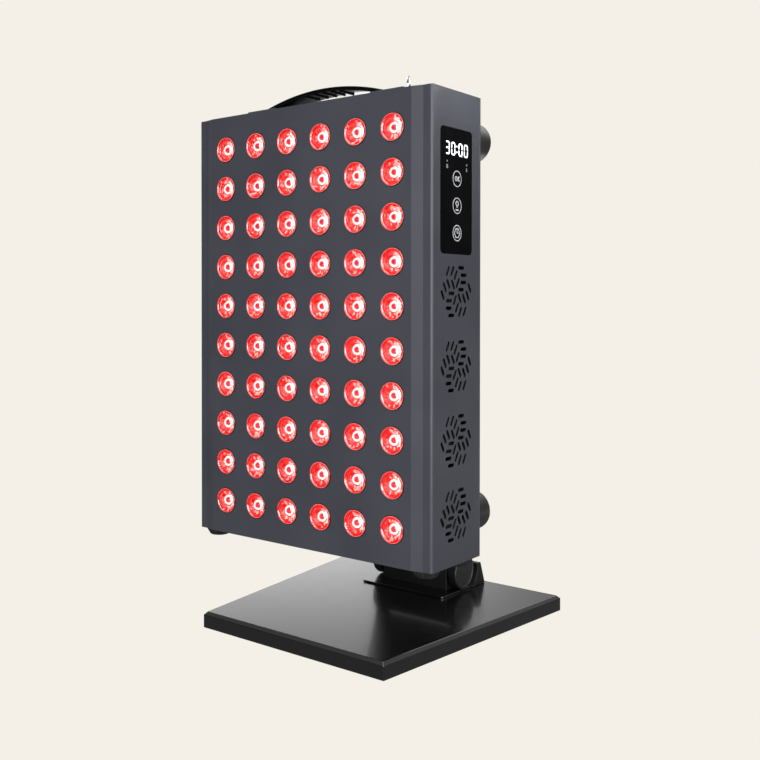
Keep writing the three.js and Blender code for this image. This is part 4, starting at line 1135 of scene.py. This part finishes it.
def backdrop_world():
    """What the camera sees is one pale tone; what the object reflects is a soft studio round it."""
    world = bpy.data.worlds.new("studio")
    world.use_nodes = True
    bpy.context.scene.world = world
    tree = world.node_tree
    tree.nodes.clear()
    direction = add_node(tree, "ShaderNodeTexCoord").outputs["Generated"]
    axes = add_node(tree, "ShaderNodeSeparateXYZ", inputs={"Vector": direction})
    smooth = {"interpolation_type": "SMOOTHSTEP"}
    # Behind: bright low down at the left only, and an even wall above
    wall = {"Value": axes.outputs["Z"], "From Min": 0.21, "From Max": 0.345}
    wall = add_node(tree, "ShaderNodeMapRange", smooth, wall)
    left = {"Value": axes.outputs["X"], "From Min": -0.62, "From Max": -0.38, "To Min": 2.05, "To Max": 0.13}
    left = add_node(tree, "ShaderNodeMapRange", smooth, left)
    back = {"Factor": wall.outputs["Result"], "A": left.outputs["Result"], "B": 0.52}
    back = add_node(tree, "ShaderNodeMix", inputs=back)
    # In front: brighter with height, and shaded at the far left
    front = {"Value": axes.outputs["Z"], "From Min": 0.3, "From Max": 0.7, "To Min": 0.0, "To Max": 3.2}
    front = add_node(tree, "ShaderNodeMapRange", smooth, front)
    dim = {"Value": axes.outputs["X"], "From Min": -0.45, "From Max": -0.1, "To Min": 0.12, "To Max": 1.0}
    dim = add_node(tree, "ShaderNodeMapRange", smooth, dim)
    front = {0: front.outputs["Result"], 1: dim.outputs["Result"]}
    front = add_node(tree, "ShaderNodeMath", {"operation": "MULTIPLY"}, front)
    # From front to back by one soft step
    turn = {"Value": axes.outputs["Y"], "From Min": -0.25, "From Max": 0.3}
    turn = add_node(tree, "ShaderNodeMapRange", smooth, turn)
    blend = {"Factor": turn.outputs["Result"], "A": front.outputs["Value"], "B": back.outputs["Result"]}
    blend = add_node(tree, "ShaderNodeMix", inputs=blend)
    room = {"Color": colour(WHITE), "Strength": blend.outputs["Result"]}
    room = add_node(tree, "ShaderNodeBackground", inputs=room)
    plain = add_node(tree, "ShaderNodeBackground", inputs={"Color": colour(BACKDROP), "Strength": 1.0})
    seen = add_node(tree, "ShaderNodeLightPath").outputs["Is Camera Ray"]
    mix = add_node(tree, "ShaderNodeMixShader", inputs={0: seen, 1: room.outputs[0], 2: plain.outputs[0]})
    add_node(tree, "ShaderNodeOutputWorld", inputs={"Surface": mix.outputs[0]})


def pale_floor():
    """A sheet of the backdrop's tone that lights the object's underside softly."""
    material = bpy.data.materials.new("pale_studio_floor")
    material.use_nodes = True
    tree = material.node_tree
    tree.nodes.clear()
    room = add_node(tree, "ShaderNodeEmission", inputs={"Color": colour(WHITE), "Strength": FLOOR_GLOW})
    plain = add_node(tree, "ShaderNodeEmission", inputs={"Color": colour(BACKDROP), "Strength": 1.0})
    seen = add_node(tree, "ShaderNodeLightPath").outputs["Is Camera Ray"]
    mix = add_node(tree, "ShaderNodeMixShader", inputs={0: seen, 1: room.outputs[0], 2: plain.outputs[0]})
    add_node(tree, "ShaderNodeOutputMaterial", inputs={"Surface": mix.outputs[0]})
    FINISH["pale_floor"] = material
    bm = bmesh.new()
    reach = FLOOR_REACH
    prism(bm, [(-reach, -reach), (reach, -reach), (reach, reach), (-reach, reach)], "z", -FLOOR_DEPTH, 0)
    new_object("studio_floor", bm, ["pale_floor"])


def softbox(name, place, target, size, radiance):
    """A rectangular light of a given brightness, whatever its size."""
    light = bpy.data.lights.new(name, "AREA")
    light.shape = "RECTANGLE"
    light.size, light.size_y = size
    light.energy = radiance * math.pi * size[0] * size[1]
    obj = bpy.data.objects.new(name, light)
    obj.location = place
    obj.rotation_euler = (Vector(target) - Vector(place)).to_track_quat("-Z", "Y").to_euler()
    obj.visible_camera = False
    bpy.context.collection.objects.link(obj)


def camera():
    data = bpy.data.cameras.new("photo_camera")
    data.sensor_width = FILM_WIDTH
    data.lens = FOCAL_LENGTH
    data.shift_x, data.shift_y = CAMERA_SHIFT
    obj = bpy.data.objects.new("photo_camera", data)
    obj.location = CAMERA_PLACE
    obj.rotation_euler = (math.radians(CAMERA_TILT), 0, math.radians(CAMERA_TURN))
    bpy.context.collection.objects.link(obj)
    bpy.context.scene.camera = obj


camera()
backdrop_world()
pale_floor()
bpy.context.scene.view_settings.view_transform = "Standard"
for light in STUDIO_LIGHTS:
    softbox(*light)

housing()
for column in range(COLUMNS):
    lens_column(column)
control_glass()
display_digits()
touch_marks()
indicator_marks()
carrying_strap()
hanging_eye(-1, "left")
hanging_eye(1, "right")
for level in ("upper", "lower"):
    for side in ("left", "right"):
        bumper(f"{level}_{side}")
for end in ("front", "rear"):
    for side in ("left", "right"):
        panel_foot(f"{end}_{side}")
base_shell()
hinge_saddle()
for end in ("lower", "upper"):
    hinge_cap(end, -1, "left")
    hinge_cap(end, 1, "right")
mains_inlet()

dress("powder_coat", 0.3, "top_cap", "bottom_cap", "rear_cover")
dress("moulded_abs", 0.5, "handle_pad")
dress("satin_black", 0.4, "arm_body", "panel_bracket")
dress("moulded_abs", 0.3, "arm_cover")
dress("moulded_abs", 0.2, "switch_bezel", "power_rocker")
for i in range(FAN_COUNT):
    dress("moulded_abs", 0, f"fan_frame_{i + 1}", f"fan_rotor_{i + 1}")
dress("zinc_plate", 0.2, "lower_shaft", "lower_nut", "upper_shaft", "upper_nut")
for side in ("left", "right"):
    for level in ("upper", "lower"):
        dress("zinc_plate", 0.2, f"bracket_screw_{level}_{side}")
    for end in ("front", "rear"):
        dress("nitrile_rubber", 0, f"base_pad_{end}_{side}")
dress("cast_iron", 0.3, "base_ballast")
dress("extruded_aluminium", 0.2, "heat_sink", "led_driver")
dress("circuit_laminate", 0, "control_board")
